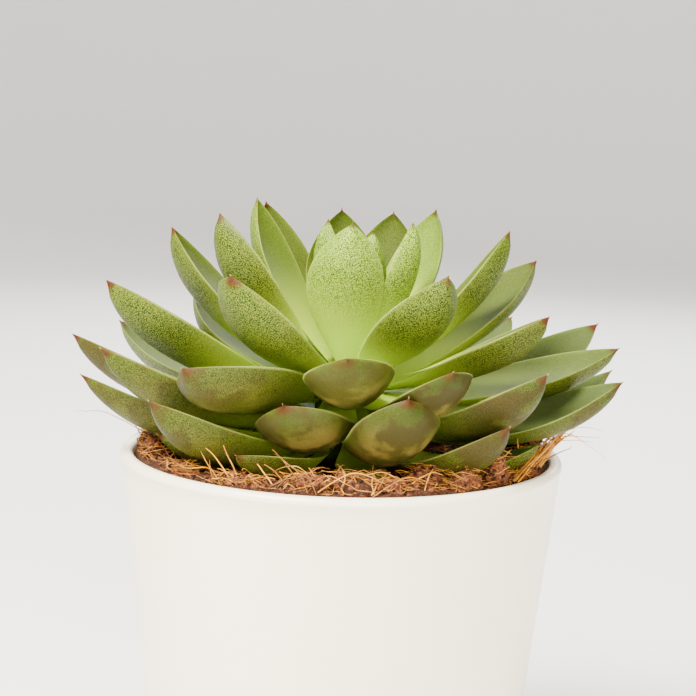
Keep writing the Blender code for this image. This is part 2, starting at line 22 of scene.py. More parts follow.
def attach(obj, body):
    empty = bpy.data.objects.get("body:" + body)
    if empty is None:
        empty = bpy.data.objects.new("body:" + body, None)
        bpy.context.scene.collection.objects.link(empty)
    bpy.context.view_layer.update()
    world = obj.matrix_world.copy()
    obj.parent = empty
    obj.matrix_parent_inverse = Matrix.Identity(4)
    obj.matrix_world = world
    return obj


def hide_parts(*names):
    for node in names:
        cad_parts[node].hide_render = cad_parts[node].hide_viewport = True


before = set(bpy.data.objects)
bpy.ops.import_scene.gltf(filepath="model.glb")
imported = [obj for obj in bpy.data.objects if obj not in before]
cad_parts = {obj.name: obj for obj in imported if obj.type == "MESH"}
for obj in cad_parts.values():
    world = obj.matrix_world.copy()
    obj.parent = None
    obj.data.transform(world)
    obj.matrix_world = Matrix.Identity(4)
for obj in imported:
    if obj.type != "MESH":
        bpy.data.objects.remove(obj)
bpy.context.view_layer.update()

MM = 0.001
POT_HEIGHT = 115.0
RIM_RADIUS = 65.0
POT_TAPER = 6.4
WALL = 4.0
BODY = "root"
UPWARDS = Vector((0.0, 0.0, 1.0))

Colour = tuple[float, float, float]
Point = np.ndarray | tuple[float, float, float]
log = logging.getLogger("echeveria")


# Node trees


def maths(operation: str, swapped: bool = False) -> Callable[..., "Wire"]:
    """An operator or method of a wire that adds one Math node.

    Args:
        operation: The Math node's operation.
        swapped: Whether the other operand goes first, as in a reflected operator.

    Returns:
        The method.
    """

    def method(self: "Wire", *others: "Wire | float") -> "Wire":
        """The Math node's result."""
        values = (*others, self) if swapped else (self, *others)
        return self.tree.node("ShaderNodeMath", {"operation": operation}, dict(enumerate(values)))[0]

    return method


class Wire:
    """A node socket that can stand in a Python expression."""

    __add__ = maths("ADD")
    __radd__ = maths("ADD", swapped=True)
    __sub__ = maths("SUBTRACT")
    __rsub__ = maths("SUBTRACT", swapped=True)
    __mul__ = maths("MULTIPLY")
    __rmul__ = maths("MULTIPLY", swapped=True)
    __truediv__ = maths("DIVIDE")
    __pow__ = maths("POWER")
    __abs__ = maths("ABSOLUTE")
    least = maths("MINIMUM")
    most = maths("MAXIMUM")

    def __init__(self, tree: "NodeTree", socket: bpy.types.NodeSocket) -> None:
        """Keep the socket and the tree that new nodes go into."""
        self.tree = tree
        self.socket = socket

    def smooth(self, low: float, high: float) -> "Wire":
        """A smooth step from nought at low to one at high.

        Args:
            low: The value that gives nought.
            high: The value that gives one; it may be the lower number.

        Returns:
            The stepped value.
        """
        settings = {"interpolation_type": "SMOOTHSTEP"}
        if low < high:
            return self.tree.node("ShaderNodeMapRange", settings, {0: self, 1: low, 2: high})[0]
        return 1.0 - self.smooth(high, low)


Value = Wire | float | tuple


class NodeTree:
    """Adds nodes to a shader or geometry tree and links them by expression."""

    def __init__(self, tree: bpy.types.NodeTree) -> None:
        """Keep the tree that the nodes go into."""
        self.tree = tree

    def node(self, kind: str, settings: dict | None = None, inputs: dict | None = None) -> list[Wire]:
        """Add one node.

        Args:
            kind: The node's type.
            settings: Its properties, set before its sockets.
            inputs: Values or wires for its sockets, by name or place.

        Returns:
            A wire for each of its visible output sockets.
        """
        made = self.tree.nodes.new(kind)
        for name, value in (settings or {}).items():
            setattr(made, name, value)
        for name, value in (inputs or {}).items():
            if isinstance(value, Wire):
                self.tree.links.new(value.socket, made.inputs[name])
            else:
                made.inputs[name].default_value = value
        return [Wire(self, socket) for socket in made.outputs if socket.enabled]

    def attribute(self, name: str) -> Wire:
        """A number that the mesh carries at each point."""
        return self.node("ShaderNodeAttribute", {"attribute_name": name})[2]

    def object_place(self) -> Wire:
        """The place on the object, in metres."""
        return self.node("ShaderNodeTexCoord")[3]

    def vector(self, x: Value, y: Value, z: Value) -> Wire:
        """A vector from its three parts."""
        return self.node("ShaderNodeCombineXYZ", None, {0: x, 1: y, 2: z})[0]

    def vector_maths(self, operation: str, first: Wire, *others: Value) -> Wire:
        """A Vector Math node on one or two vectors."""
        inputs = dict(enumerate((first, *others)))
        return self.node("ShaderNodeVectorMath", {"operation": operation}, inputs)[0]

    def mix(self, share: Value, first: Value, second: Value) -> Wire:
        """Blend two colours.

        Args:
            share: How much of the second colour shows.
            first: The colour where share is nought.
            second: The colour where share is one.

        Returns:
            The blended colour.
        """
        pair = [c if isinstance(c, Wire) else (*c, 1.0) for c in (first, second)]
        settings = {"data_type": "RGBA", "clamp_factor": True}
        return self.node("ShaderNodeMix", settings, {0: share, 6: pair[0], 7: pair[1]})[0]

    def noise(self, place: Wire, scale: float, detail: float = 2.0, rough: float = 0.5) -> Wire:
        """A noise value of about 0.5.

        Args:
            place: The coordinates that it reads.
            scale: How many of its swells fit in one unit.
            detail: How many finer layers it has.
            rough: How strong those layers are.

        Returns:
            The noise.
        """
        inputs = {"Vector": place, "Scale": scale, "Detail": detail, "Roughness": rough}
        return self.node("ShaderNodeTexNoise", None, inputs)[0]

    def bump(self, height: Wire, strength: float, distance: float) -> Wire:
        """The normal of a surface with a fine relief, whose full depth is the distance in metres."""
        inputs = {"Strength": strength, "Distance": distance, "Height": height}
        return self.node("ShaderNodeBump", None, inputs)[0]


# Finishes


@dataclass(frozen=True)
class Finish:
    """A Principled material: even values on some of its sockets, wires on others."""

    name: str
    even: dict[str, float | tuple] = field(default_factory=dict)

    def wires(self, tree: NodeTree) -> dict[str, Wire]:
        """What feeds the sockets where the surface varies, which is nothing on an even finish."""
        return {}

    def build(self) -> bpy.types.Material:
        """Make the material.

        Returns:
            The material.
        """
        material = bpy.data.materials.new(self.name)
        material.use_nodes = True
        shader = material.node_tree.nodes["Principled BSDF"]
        for socket, value in self.even.items():
            shader.inputs[socket].default_value = value
        for socket, wire in self.wires(NodeTree(material.node_tree)).items():
            material.node_tree.links.new(wire.socket, shader.inputs[socket])
        return material


WAX = {"IOR": 1.4, "Specular IOR Level": 0.17, "Subsurface Weight": 0.1, "Subsurface Scale": 0.003,
       "Subsurface Radius": (0.6, 1.0, 0.25)}
GLOSS = {"IOR": 1.5, "Coat Weight": 0.3, "Coat Roughness": 0.12}


@dataclass(frozen=True)
class LeafSkin(Finish):
    """Waxy leaf skin: stippled green, with a painted glow at the root, grey with bloom where the leaf is old.
    """

    name: str = "leaf_skin"
    even: dict[str, float | tuple] = field(default_factory=lambda: WAX)
    young_green: Colour = (0.36, 0.49, 0.045)
    young_deep: Colour = (0.045, 0.105, 0.004)
    grown_green: Colour = (0.145, 0.175, 0.012)
    grown_deep: Colour = (0.010, 0.026, 0.002)
    # Painted glow: the root green is brighter than the flesh, standing in for light through the leaf
    root_glow_green: Colour = (0.46, 0.62, 0.045)
    bloom_grey: Colour = (0.07, 0.095, 0.035)
    blush_olive: Colour = (0.046, 0.052, 0.004)
    # Partly the blush's own tan, partly a painted highlight on the belly
    blush_tan_and_highlight: Colour = (0.31, 0.20, 0.046)
    blush_brown: Colour = (0.055, 0.022, 0.006)
    tip_brown: Colour = (0.055, 0.008, 0.002)
    point_cream: Colour = (0.60, 0.42, 0.20)
    margin_pale: Colour = (0.42, 0.48, 0.10)
    stipple: float = 3600.0
    patches: float = 90.0

    def wires(self, tree: NodeTree) -> dict[str, Wire]:
        """The green of the flesh, then what lies on it from the root to the tip.

        Args:
            tree: The material's tree.

        Returns:
            The wires of the colour, the roughness and the normal.
        """
        place = tree.object_place()
        along = tree.attribute("along")
        across = abs(tree.attribute("across"))
        under = tree.attribute("under").smooth(0.42, 0.6)
        bloom = tree.attribute("bloom")
        blush = tree.attribute("blush") * under
        pale = tree.attribute("pale")
        satin = tree.attribute("satin")
        streak_place = tree.vector(along * 2.0, tree.attribute("across") * 9.0, tree.attribute("seed"))
        streak = tree.noise(streak_place, 1.5, 3.0, 0.6)
        patch = tree.noise(place, self.patches, 3.0, 0.6)
        # Dots of deep green, which thin out towards the root and the margins, and on the upper face blur into
        # an even darker green, a painted shade against the light from above
        cells = tree.node("ShaderNodeTexVoronoi", None, {"Vector": place, "Scale": self.stipple})[0]
        dots = cells * 0.9 + tree.noise(place, self.stipple, 1.0) * 0.2 - 0.08
        grain = (dots + (patch - 0.5) * 0.1).smooth(0.34, 0.52)
        grain = 0.7 + (grain - 0.7) * (0.3 + under * 0.7) * (1.0 - satin * 0.6)
        dense = (1.0 - across.smooth(0.8, 1.0) * 0.2) * (1.0 - along.smooth(0.5, 0.1) * 0.6)
        light = tree.mix(pale, self.grown_green, self.young_green)
        deep = tree.mix(pale, self.grown_deep, self.young_deep)
        green = tree.mix(grain * dense, light, deep)
        # A painted glow at the root, bright as if lit through the flesh from behind, which also lifts the
        # shade deep in the rosette; and grey bloom on the upper face
        green = tree.mix(along.smooth(0.66, 0.2) * 0.85, green, self.root_glow_green)
        bloom_share = bloom * (1.0 - under) * (streak * 0.7 + 0.35) * along.smooth(0.1, 0.4)
        green = tree.mix(bloom_share, green, self.bloom_grey)
        # The blush of the low front leaves: olive, with a tan belly that is partly its own tan and partly a
        # painted highlight, stronger on the satin leaves, and brown patches near the tip
        green = tree.mix(blush * along.smooth(0.2, 0.5) * 0.85, green, self.blush_olive)
        # The tan belly also carries a painted highlight on the rounded underside
        belly = along.smooth(0.35, 0.6) * along.smooth(0.95, 0.7) * patch.smooth(0.36, 0.6)
        tan_and_highlight_share = blush * across.smooth(1.05, 0.5) * belly * (0.3 + satin * 0.6)
        green = tree.mix(tan_and_highlight_share, green, self.blush_tan_and_highlight)
        crown = along.smooth(0.55, 0.8) * patch.smooth(0.56, 0.44)
        green = tree.mix(blush * crown * 0.9, green, self.blush_brown)
        green = tree.mix(grain * dense * blush * 0.75, green, self.grown_deep)
        # The pale margin, the red-brown tip and its dry point
        margin = across.smooth(0.965, 0.998) * along.smooth(0.2, 0.5)
        green = tree.mix(margin * 0.3, green, self.margin_pale)
        edge = across.smooth(0.95, 1.0) * along.smooth(0.74, 0.97)
        red = along.smooth(0.94, 0.97).most(edge * 0.6) * tree.attribute("red")
        green = tree.mix(red * (1.0 - satin * 0.15), green, self.tip_brown)
        green = tree.mix(along.smooth(0.985, 1.0) * 0.7, green, self.point_cream)
        rough = 0.62 - under * 0.18 + grain * 0.1 + bloom * 0.08
        bump = tree.bump(dots * -0.2 + streak * 0.4, 0.25, 0.0004)
        return {"Base Color": green, "Roughness": rough, "Normal": bump}


@dataclass(frozen=True)
class PotGlaze(Finish):
    """Cream-white glaze with a soft gloss and a faint unevenness."""

    name: str = "pot_glaze"
    even: dict[str, float | tuple] = field(default_factory=lambda: GLOSS)
    white: Colour = (0.95, 0.88, 0.68)
    cream: Colour = (0.94, 0.84, 0.58)

    def wires(self, tree: NodeTree) -> dict[str, Wire]:
        """Clouds of cream in the white, and a faint ripple.

        Args:
            tree: The material's tree.

        Returns:
            The wires of the colour, the roughness and the normal.
        """
        place = tree.object_place()
        colour = tree.mix(tree.noise(place, 14.0, 3.0, 0.5).smooth(0.35, 0.7), self.white, self.cream)
        rough = 0.28 + tree.noise(place, 120.0, 2.0) * 0.1
        bump = tree.bump(tree.noise(place, 90.0, 2.0), 0.06, 0.0005)
        return {"Base Color": colour, "Roughness": rough, "Normal": bump}


@dataclass(frozen=True)
class Coir(Finish):
    """Coconut coir or bark: dark and light mixed by a grain and by each crumb's or fibre's shade."""

    even: dict[str, float | tuple] = field(default_factory=lambda: {"Specular IOR Level": 0.25})
    dark: Colour = (0.008, 0.003, 0.0015)
    light: Colour = (0.27, 0.085, 0.026)
    scale: float = 1500.0
    rough: float = 0.9

    def wires(self, tree: NodeTree) -> dict[str, Wire]:
        """The grain.

        Args:
            tree: The material's tree.

        Returns:
            The wires of the colour, the roughness and the normal.
        """
        grain = tree.noise(tree.object_place(), self.scale, 4.0, 0.7)
        share = (grain * 0.8 + tree.attribute("shade") * 0.6 - 0.2).smooth(0.2, 0.85)
        colour = tree.mix(share, self.dark, self.light)
        bump = tree.bump(grain, 0.7, 0.0006)
        return {"Base Color": colour, "Roughness": self.rough - grain * 0.15, "Normal": bump}


BACKDROP = Finish("backdrop", {"Base Color": (0.82, 0.81, 0.79, 1.0), "Roughness": 0.9})
PITH = Coir("coir_pith")
STRAW = Coir("coir_straw", dark=(0.10, 0.026, 0.006), light=(0.80, 0.35, 0.035), scale=500.0, rough=0.7)
STEM_BARK = Coir("stem_bark", dark=(0.03, 0.06, 0.01), light=(0.12, 0.2, 0.035), scale=300.0)


class Slot(Enum):
    """The record's material slots."""

    POT = "pot"
    SOIL = "soil"
    TUFT = "tuft"
    LEAF_HEART = "leaf_heart"
    LEAF_MIDDLE = "leaf_middle"
    LEAF_OUTER = "leaf_outer"


# Places round the pot


def heading(side: float) -> Vector:
    """The level unit vector that points to a side."""
    turn = math.radians(side)
    return Vector((math.sin(turn), -math.cos(turn), 0.0))


def polar(side: float, radius: float, height: float) -> Vector:
    """The point at a side, a radius and a height over the rim."""
    point = heading(side) * radius
    point.z = height
    return point


def signed_turn(turn: float) -> float:
    """The same turn between -180 and 180 degrees."""
    return (turn + 180.0) % 360.0 - 180.0


def share_of(value: float, start: float, length: float) -> float:
    """How far a value has come from a start over a length, kept between nought and one."""
    return min(1.0, max(0.0, (value - start) / length))


def between(value: float, points: tuple) -> float:
    """The value interpolated along (place, value) pairs."""
    places, values = zip(*points)
    return float(np.interp(value, places, values))


def circle(count: int) -> np.ndarray:
    """Evenly spaced points of a unit circle seen from above, from the front round by the right."""
    turns = np.linspace(0.0, 2.0 * math.pi, count, endpoint=False)
    return np.stack([np.sin(turns), -np.cos(turns)], axis=1)


def level_ring(points: np.ndarray, radius: float, height: float, middle: tuple = (0.0, 0.0)) -> np.ndarray:
    """A level ring from the points of a unit circle."""
    return np.column_stack([points * radius + middle, np.full(len(points), height)])


# Meshes and pieces


def grid_faces(rows: int, around: int) -> list[list[int]]:
    """The four-sided faces between rings of points.

    Args:
        rows: How many rings there are.
        around: How many points each ring has.

    Returns:
        The faces, ring by ring.
    """
    row, column = np.meshgrid(np.arange(rows - 1), np.arange(around), indexing="ij")
    here, after = row * around, (column + 1) % around
    quads = np.stack([here + column, here + after, here + around + after, here + around + column], axis=-1)
    return quads.reshape(-1, 4).tolist()


def turn_faces_out(mesh: bpy.types.Mesh) -> None:
    """Make the faces of a closed mesh point outwards.

    Args:
        mesh: The mesh.
    """
    shape = bmesh.new()
    shape.from_mesh(mesh)
    bmesh.ops.recalc_face_normals(shape, faces=shape.faces)
    if shape.calc_volume(signed=True) < 0:
        bmesh.ops.reverse_faces(shape, faces=shape.faces)
    shape.to_mesh(mesh)
    shape.free()


def tube_mesh(name: str, rings: np.ndarray, first: Point, last: Point) -> bpy.types.Mesh:
    """A closed smooth skin over rings of points.

    Args:
        name: The mesh's name.
        rings: Points in millimetres over the rim, as rings by points by three.
        first: The middle of the first ring's cap.
        last: The middle of the last ring's cap.

    Returns:
        The mesh, in metres, with its caps' middles as its last two points.
    """
    count, around = rings.shape[:2]
    points = np.concatenate([rings.reshape(-1, 3), [first], [last]])
    faces = grid_faces(count, around)
    start, end, top = count * around, count * around + 1, (count - 1) * around
    for here in range(around):
        there = (here + 1) % around
        faces += [(start, there, here), (end, top + here, top + there)]
    mesh = bpy.data.meshes.new(name)
    points[:, 2] += POT_HEIGHT
    mesh.from_pydata((points * MM).tolist(), [], faces)
    mesh.shade_smooth()
    turn_faces_out(mesh)
    return mesh


def joined(name: str, whole: bmesh.types.BMesh) -> bpy.types.Mesh:
    """A smooth mesh of all that a bmesh holds.

    Args:
        name: The mesh's name.
        whole: The bmesh, which is freed.

    Returns:
        The mesh.
    """
    mesh = bpy.data.meshes.new(name)
    whole.to_mesh(mesh)
    whole.free()
    mesh.shade_smooth()
    return mesh


def paint(mesh: bpy.types.Mesh, name: str, value: float | np.ndarray) -> None:
    """Give every point of a mesh a number that its material reads."""
    layer = mesh.attributes.new(name, "FLOAT", "POINT")
    layer.data.foreach_set("value", np.broadcast_to(np.float32(value), len(mesh.vertices)).copy())


def link_piece(mesh: bpy.types.Mesh, material: bpy.types.Material | None = None) -> bpy.types.Object:
    """An object for a mesh, by the mesh's name and at the origin.

    Args:
        mesh: The mesh.
        material: Its material, if it has none yet.

    Returns:
        The object.
    """
    if material:
        mesh.materials.append(material)
    piece = bpy.data.objects.new(mesh.name, mesh)
    bpy.context.scene.collection.objects.link(piece)
    return piece


def finish_piece(piece: bpy.types.Object, slot: Slot, *nodes: str) -> None:
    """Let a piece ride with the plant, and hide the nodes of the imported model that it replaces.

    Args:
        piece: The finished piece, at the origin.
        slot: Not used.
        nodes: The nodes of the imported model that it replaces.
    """
    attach(piece, BODY)
    for node in nodes:
        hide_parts(node)
    log.info("%s: %d faces", piece.name, len(piece.data.polygons))


class GeometryRecipe:
    """A geometry tree with named inputs that turns a mesh into pieces that lie on it."""

    def __init__(self, name: str, sizes: dict[str, float]) -> None:
        """Start the tree with its inputs.

        Args:
            name: The tree's name.
            sizes: The inputs' names and default values.
        """
        self.group = bpy.data.node_groups.new(name, "GeometryNodeTree")
        self.group.is_modifier = True
        self.tree = NodeTree(self.group)
        self.keys: dict[str, str] = {}
        faces = self.group.interface
        faces.new_socket("Geometry", in_out="INPUT", socket_type="NodeSocketGeometry")
        faces.new_socket("Geometry", in_out="OUTPUT", socket_type="NodeSocketGeometry")
        for label, value in sizes.items():
            kind = "NodeSocketInt" if isinstance(value, int) else "NodeSocketFloat"
            socket = faces.new_socket(label, in_out="INPUT", socket_type=kind)
            socket.default_value = value
            self.keys[label] = socket.identifier
        outputs = self.tree.node("NodeGroupInput")
        self.source = outputs[0]
        self.inputs = dict(zip(sizes, outputs[1:]))

    def chance(self, low: Value, high: Value, seed: int, kind: str = "FLOAT") -> Wire:
        """A random value for each element.

        Args:
            low: The least value.
            high: The greatest value.
            seed: The seed of this draw.
            kind: FLOAT or FLOAT_VECTOR.

        Returns:
            The value.
        """
        first = 2 if kind == "FLOAT" else 0
        inputs = {first: low, first + 1: high, 8: seed}
        return self.tree.node("FunctionNodeRandomValue", {"data_type": kind}, inputs)[0]

    def strew(self, draws: dict[str, tuple[float, int]]) -> Wire:
        """Points over the source mesh.

        Args:
            draws: The names of the random numbers that each point carries, with the greatest
                value and the seed of each.

        Returns:
            The points.
        """
        scatter = {"Mesh": self.source, "Density": self.inputs["Density"], "Seed": self.inputs["Seed"]}
        settings = {"distribute_method": "RANDOM"}
        points = self.tree.node("GeometryNodeDistributePointsOnFaces", settings, scatter)[0]
        settings = {"data_type": "FLOAT", "domain": "POINT"}
        for label, (most, seed) in draws.items():
            store = {"Geometry": points, "Name": label, "Value": self.chance(0.0, most, seed)}
            points = self.tree.node("GeometryNodeStoreNamedAttribute", settings, store)[0]
        return points

    def place_on(self, points: Wire, shape: Wire, turn: Wire, size: Wire) -> Wire:
        """A real copy of a shape on every point, turned and sized."""
        placed = {"Points": points, "Instance": shape, "Rotation": turn, "Scale": size}
        copies = self.tree.node("GeometryNodeInstanceOnPoints", None, placed)[0]
        return self.tree.node("GeometryNodeRealizeInstances", None, {"Geometry": copies})[0]

    def shake(self, geometry: Wire, swirl: Wire, middle: Colour, amount: Wire) -> Wire:
        """Move the points of a geometry about.

        Args:
            geometry: The geometry.
            swirl: A noise colour.
            middle: The colour that moves nothing.
            amount: How far a full step of the colour moves a point.

        Returns:
            The moved geometry.
        """
        inputs = {0: self.tree.vector_maths("SUBTRACT", swirl, middle), 3: amount}
        offset = self.tree.node("ShaderNodeVectorMath", {"operation": "SCALE"}, inputs)[0]
        return self.tree.node("GeometryNodeSetPosition", None, {"Geometry": geometry, "Offset": offset})[0]

    def end(self, geometry: Wire, material: bpy.types.Material) -> None:
        """Close the tree: real geometry, its material, and the way out.

        Args:
            geometry: The geometry that the tree has made.
            material: The material of all of it.
        """
        real = self.tree.node("GeometryNodeRealizeInstances", None, {"Geometry": geometry})[0]
        inputs = {"Geometry": real, "Material": material}
        dressed = self.tree.node("GeometryNodeSetMaterial", None, inputs)[0]
        self.tree.node("NodeGroupOutput", None, {0: dressed})

    def make(self, name: str, base: bpy.types.Mesh, sizes: dict[str, float]) -> bpy.types.Object:
        """Run the tree once and keep its result as a plain mesh.

        Args:
            name: The new object's name.
            base: The mesh that goes into the tree.
            sizes: Values for its named inputs.

        Returns:
            The new object, at the origin.
        """
        maker = bpy.data.objects.new(f"{name}_maker", base)
        bpy.context.scene.collection.objects.link(maker)
        modifier = maker.modifiers.new("recipe", "NODES")
        modifier.node_group = self.group
        for label, value in sizes.items():
            modifier[self.keys[label]] = value
        bpy.context.view_layer.update()
        graph = bpy.context.evaluated_depsgraph_get()
        mesh = bpy.data.meshes.new_from_object(maker.evaluated_get(graph))
        maker.modifiers.remove(modifier)
        bpy.data.objects.remove(maker)
        mesh.name = name
        return link_piece(mesh)


# Rosette


@dataclass(frozen=True)
class Leaf:
    """One leaf: its step on the spiral, where its tip lies, and how it differs from its neighbours."""

    step: int
    side: float
    reach: float
    height: float
    wide: float = 1.0
    thick: float = 1.0
    curl: float = 0.0
    roll: float = 0.0
    sag: float = 0.0
    lift: float = 0.0
    turn: float = 0.0
    bow: float = 0.0
    blunt: float = 0.0
    blush: float = 0.0


LEAVES = (
    # The heart
    Leaf(-8, 0, 2, 52, wide=0.8, thick=0.7),
    Leaf(-7, 120, 3, 54, thick=0.8),
    Leaf(-6, -100, 5, 56),
    Leaf(-5, 24, 8, 66),
    Leaf(-4, 165, 9, 59),
    Leaf(-3, -63, 11, 68.5),
    Leaf(-2, 65, 16, 68.5),
    Leaf(-1, -150, 13, 60),
    # The upright leaves round the heart
    Leaf(0, -10, 16, 68.8, wide=1.08, bow=-1.6),
    Leaf(1, 125, 27, 71),
    Leaf(2, -112, 34, 73, wide=0.95, roll=2),
    Leaf(3, 30, 47, 57, wide=1.12, bow=-0.8),
    Leaf(4, -165, 24, 70),
    Leaf(5, -38, 57, 55.6, wide=1.36, roll=-4, sag=-1, turn=8, bow=1.5, blunt=0.6),
    Leaf(6, 88, 43, 66.5, wide=0.9, curl=-12, roll=-8),
    Leaf(7, -135, 42, 71),
    Leaf(8, -3.2, 62, 36.9, wide=1.04, curl=4, roll=12, lift=0.4, blunt=1, blush=0.5),
    Leaf(9, 163, 34, 69),
    Leaf(10, -71, 43, 70, wide=1.15, thick=0.88, curl=-16, roll=13, lift=1, turn=-10),
    Leaf(11, 62, 59.6, 45, curl=-8, sag=2.2, blush=0.2),
    Leaf(12, -152, 50, 58, thick=0.96),
    # The open leaves of the middle turns
    Leaf(13, -22, 54, 22.1, wide=1.08, thick=0.76, curl=46, roll=20, sag=-1, lift=0.4, turn=4,
         blunt=1, blush=0.75),
    Leaf(14, 112, 58, 56, wide=0.95, curl=-18, sag=1.5),
    Leaf(15, -107, 60, 63, curl=-16, roll=14),
    Leaf(16, 23, 63, 33.5, wide=0.93, thick=0.76, curl=8, roll=10, lift=2, blunt=1, blush=0.95),
    Leaf(17, 178, 55, 52),
    Leaf(18, -42, 70.5, 31.2, wide=1.3, thick=0.86, curl=18, roll=31, sag=5.2, lift=1, turn=-12.5,
         blush=0.65),
    Leaf(19, 88, 76.6, 33.2, thick=0.8, curl=-10, roll=1, sag=1.6, blush=0.2),
    Leaf(20, -128, 66, 43, roll=10),
    Leaf(21, 13, 59, 26.4, wide=0.98, thick=0.84, curl=44, roll=4, sag=-1.6, blunt=1, blush=0.8),
    Leaf(22, 136, 72, 34.5, sag=4.9, lift=2.2),
    Leaf(23, -85, 74, 49, wide=1.12, thick=0.96, curl=-14, roll=26, sag=1, lift=-1.3),
    Leaf(24, 47, 69.3, 32, wide=1.05, thick=0.86, curl=-8, roll=-6, sag=-3, blush=0.85),
    Leaf(25, -170, 72, 46, thick=0.85),
    Leaf(27, 111, 80, 36.5, thick=0.74, curl=-6, roll=10, sag=-3.15),
    Leaf(28, -118, 86, 31, thick=0.87, roll=6, sag=1),
    # The low outer turns
    Leaf(30, 157, 76, 36, thick=0.82, sag=-0.4),
    Leaf(31, -70, 77, 32, thick=0.68, curl=-8, roll=27, sag=-1.4, lift=-3, blush=0.55),
    Leaf(32, 75, 78, 26.2, thick=0.85, curl=-6, roll=6, sag=-2, blush=0.6),
    Leaf(33, -150, 77, 36, thick=0.85),
    Leaf(35, 125, 75, 22, thick=0.82, sag=-0.1),
    Leaf(36, -95, 86, 31, thick=0.8, curl=-10, roll=30, sag=-1.5, blush=0.75),
    Leaf(37, 39, 65, 18, wide=1.05, thick=0.62, roll=-3, sag=-4.2, lift=-1, blush=0.8),
    Leaf(38, -178, 68, 19, thick=0.8),
    Leaf(39, -52, 72, 20.9, wide=1.1, thick=0.75, curl=14, roll=26.5, sag=-3.0, lift=-0.2, blush=0.6),
    Leaf(40, 97, 77.3, 25, thick=0.7, sag=-4.1, blush=0.3),
    Leaf(41, -134, 76, 19, thick=0.75),
    Leaf(42, 6, 48, 3, wide=0.7, thick=0.7, sag=-1.2),
    Leaf(43, 144, 66, 13, thick=0.76),
    Leaf(44, -78, 81.2, 23, wide=1.05, thick=0.6, roll=32, sag=-3.2, lift=-1, blush=0.6),
    Leaf(45, 58, 61, 10, wide=0.9, thick=0.58, curl=-8, roll=6, sag=-4.5, lift=-1, blush=0.2),
    Leaf(46, -164, 62, 9, thick=0.7, sag=-1),
    Leaf(47, -32, 61, 8, wide=0.85, thick=0.6, curl=-14, roll=30, sag=-3.2, lift=-1, blush=0.4),
    Leaf(49, -112, 64, 9, thick=0.8, sag=-0.6),
    Leaf(51, 168, 54, 4, thick=0.7, sag=-1.3),
    Leaf(52, -65, 62, 8, wide=0.8, thick=0.5, curl=-12, sag=-4.1, lift=-1, blush=0.2),
)


@dataclass
class Rosette:
    """The leaves, which follow the golden angle round an axis that leans to the front right."""

    golden_angle: float = 137.508
    first_side: float = -8.0
    heart_steps: int = 8
    lean: float = 10.0
    lean_side: float = 25.0
    tip_axis: Vector = field(default_factory=lambda: Vector((4.0, 0.0, 0.0)))
    stem_middle: Vector = field(default_factory=lambda: Vector((2.0, 0.0, 20.0)))
    crown_height: float = 31.0
    low_leaf_height: float = 4.0
    low_leaf_age: float = 53.0
    drop_power: float = 0.85
    bud_radius: float = 1.2
    shoulder_growth: float = 8.3
    shoulder_age: float = 22.0
    shoulder_power: float = 0.75
    root_swing: float = 0.7
    blade_swing: float = 0.85
    stem_lean_share: float = 0.5
    heart_leaves: int = 12
    middle_leaves: int = 32

    def stem_point(self, height: float) -> Vector:
        """The middle of the leaning stem at a height over the rim."""
        shift = math.tan(math.radians(self.lean)) * (height - self.stem_middle.z) * self.stem_lean_share
        return Vector((self.stem_middle.x, self.stem_middle.y, height)) + heading(self.lean_side) * shift

    def root_point(self, leaf: Leaf, root_side: float) -> Vector:
        """Where a leaf's arc starts, just inside the stem.

        Args:
            leaf: The leaf.
            root_side: The side of the stem that it grows from.

        Returns:
            The point.
        """
        age = leaf.step + self.heart_steps
        drop = (age / self.low_leaf_age) ** self.drop_power
        radius = self.shoulder_growth * min(1.0, age / self.shoulder_age) ** self.shoulder_power
        radius += self.bud_radius
        lean = math.tan(math.radians(self.lean)) * math.cos(math.radians(root_side - self.lean_side))
        height = self.crown_height + (self.low_leaf_height - self.crown_height) * drop
        height += leaf.lift - lean * radius
        return self.stem_point(height) + heading(root_side) * radius

    def slot_of(self, number: int) -> Slot:
        """The material slot of a leaf, counted from the heart."""
        if number <= self.heart_leaves:
            return Slot.LEAF_HEART
        return Slot.LEAF_MIDDLE if number <= self.middle_leaves else Slot.LEAF_OUTER

    def build(self, skin: bpy.types.Material) -> None:
        """Make every leaf, from the heart outwards."""
        for number, leaf in enumerate(LEAVES, start=1):
            mesh = Blade(leaf, self).build(f"blade_{number:02d}")
            finish_piece(link_piece(mesh, skin), self.slot_of(number), f"leaf_{number:02d}")


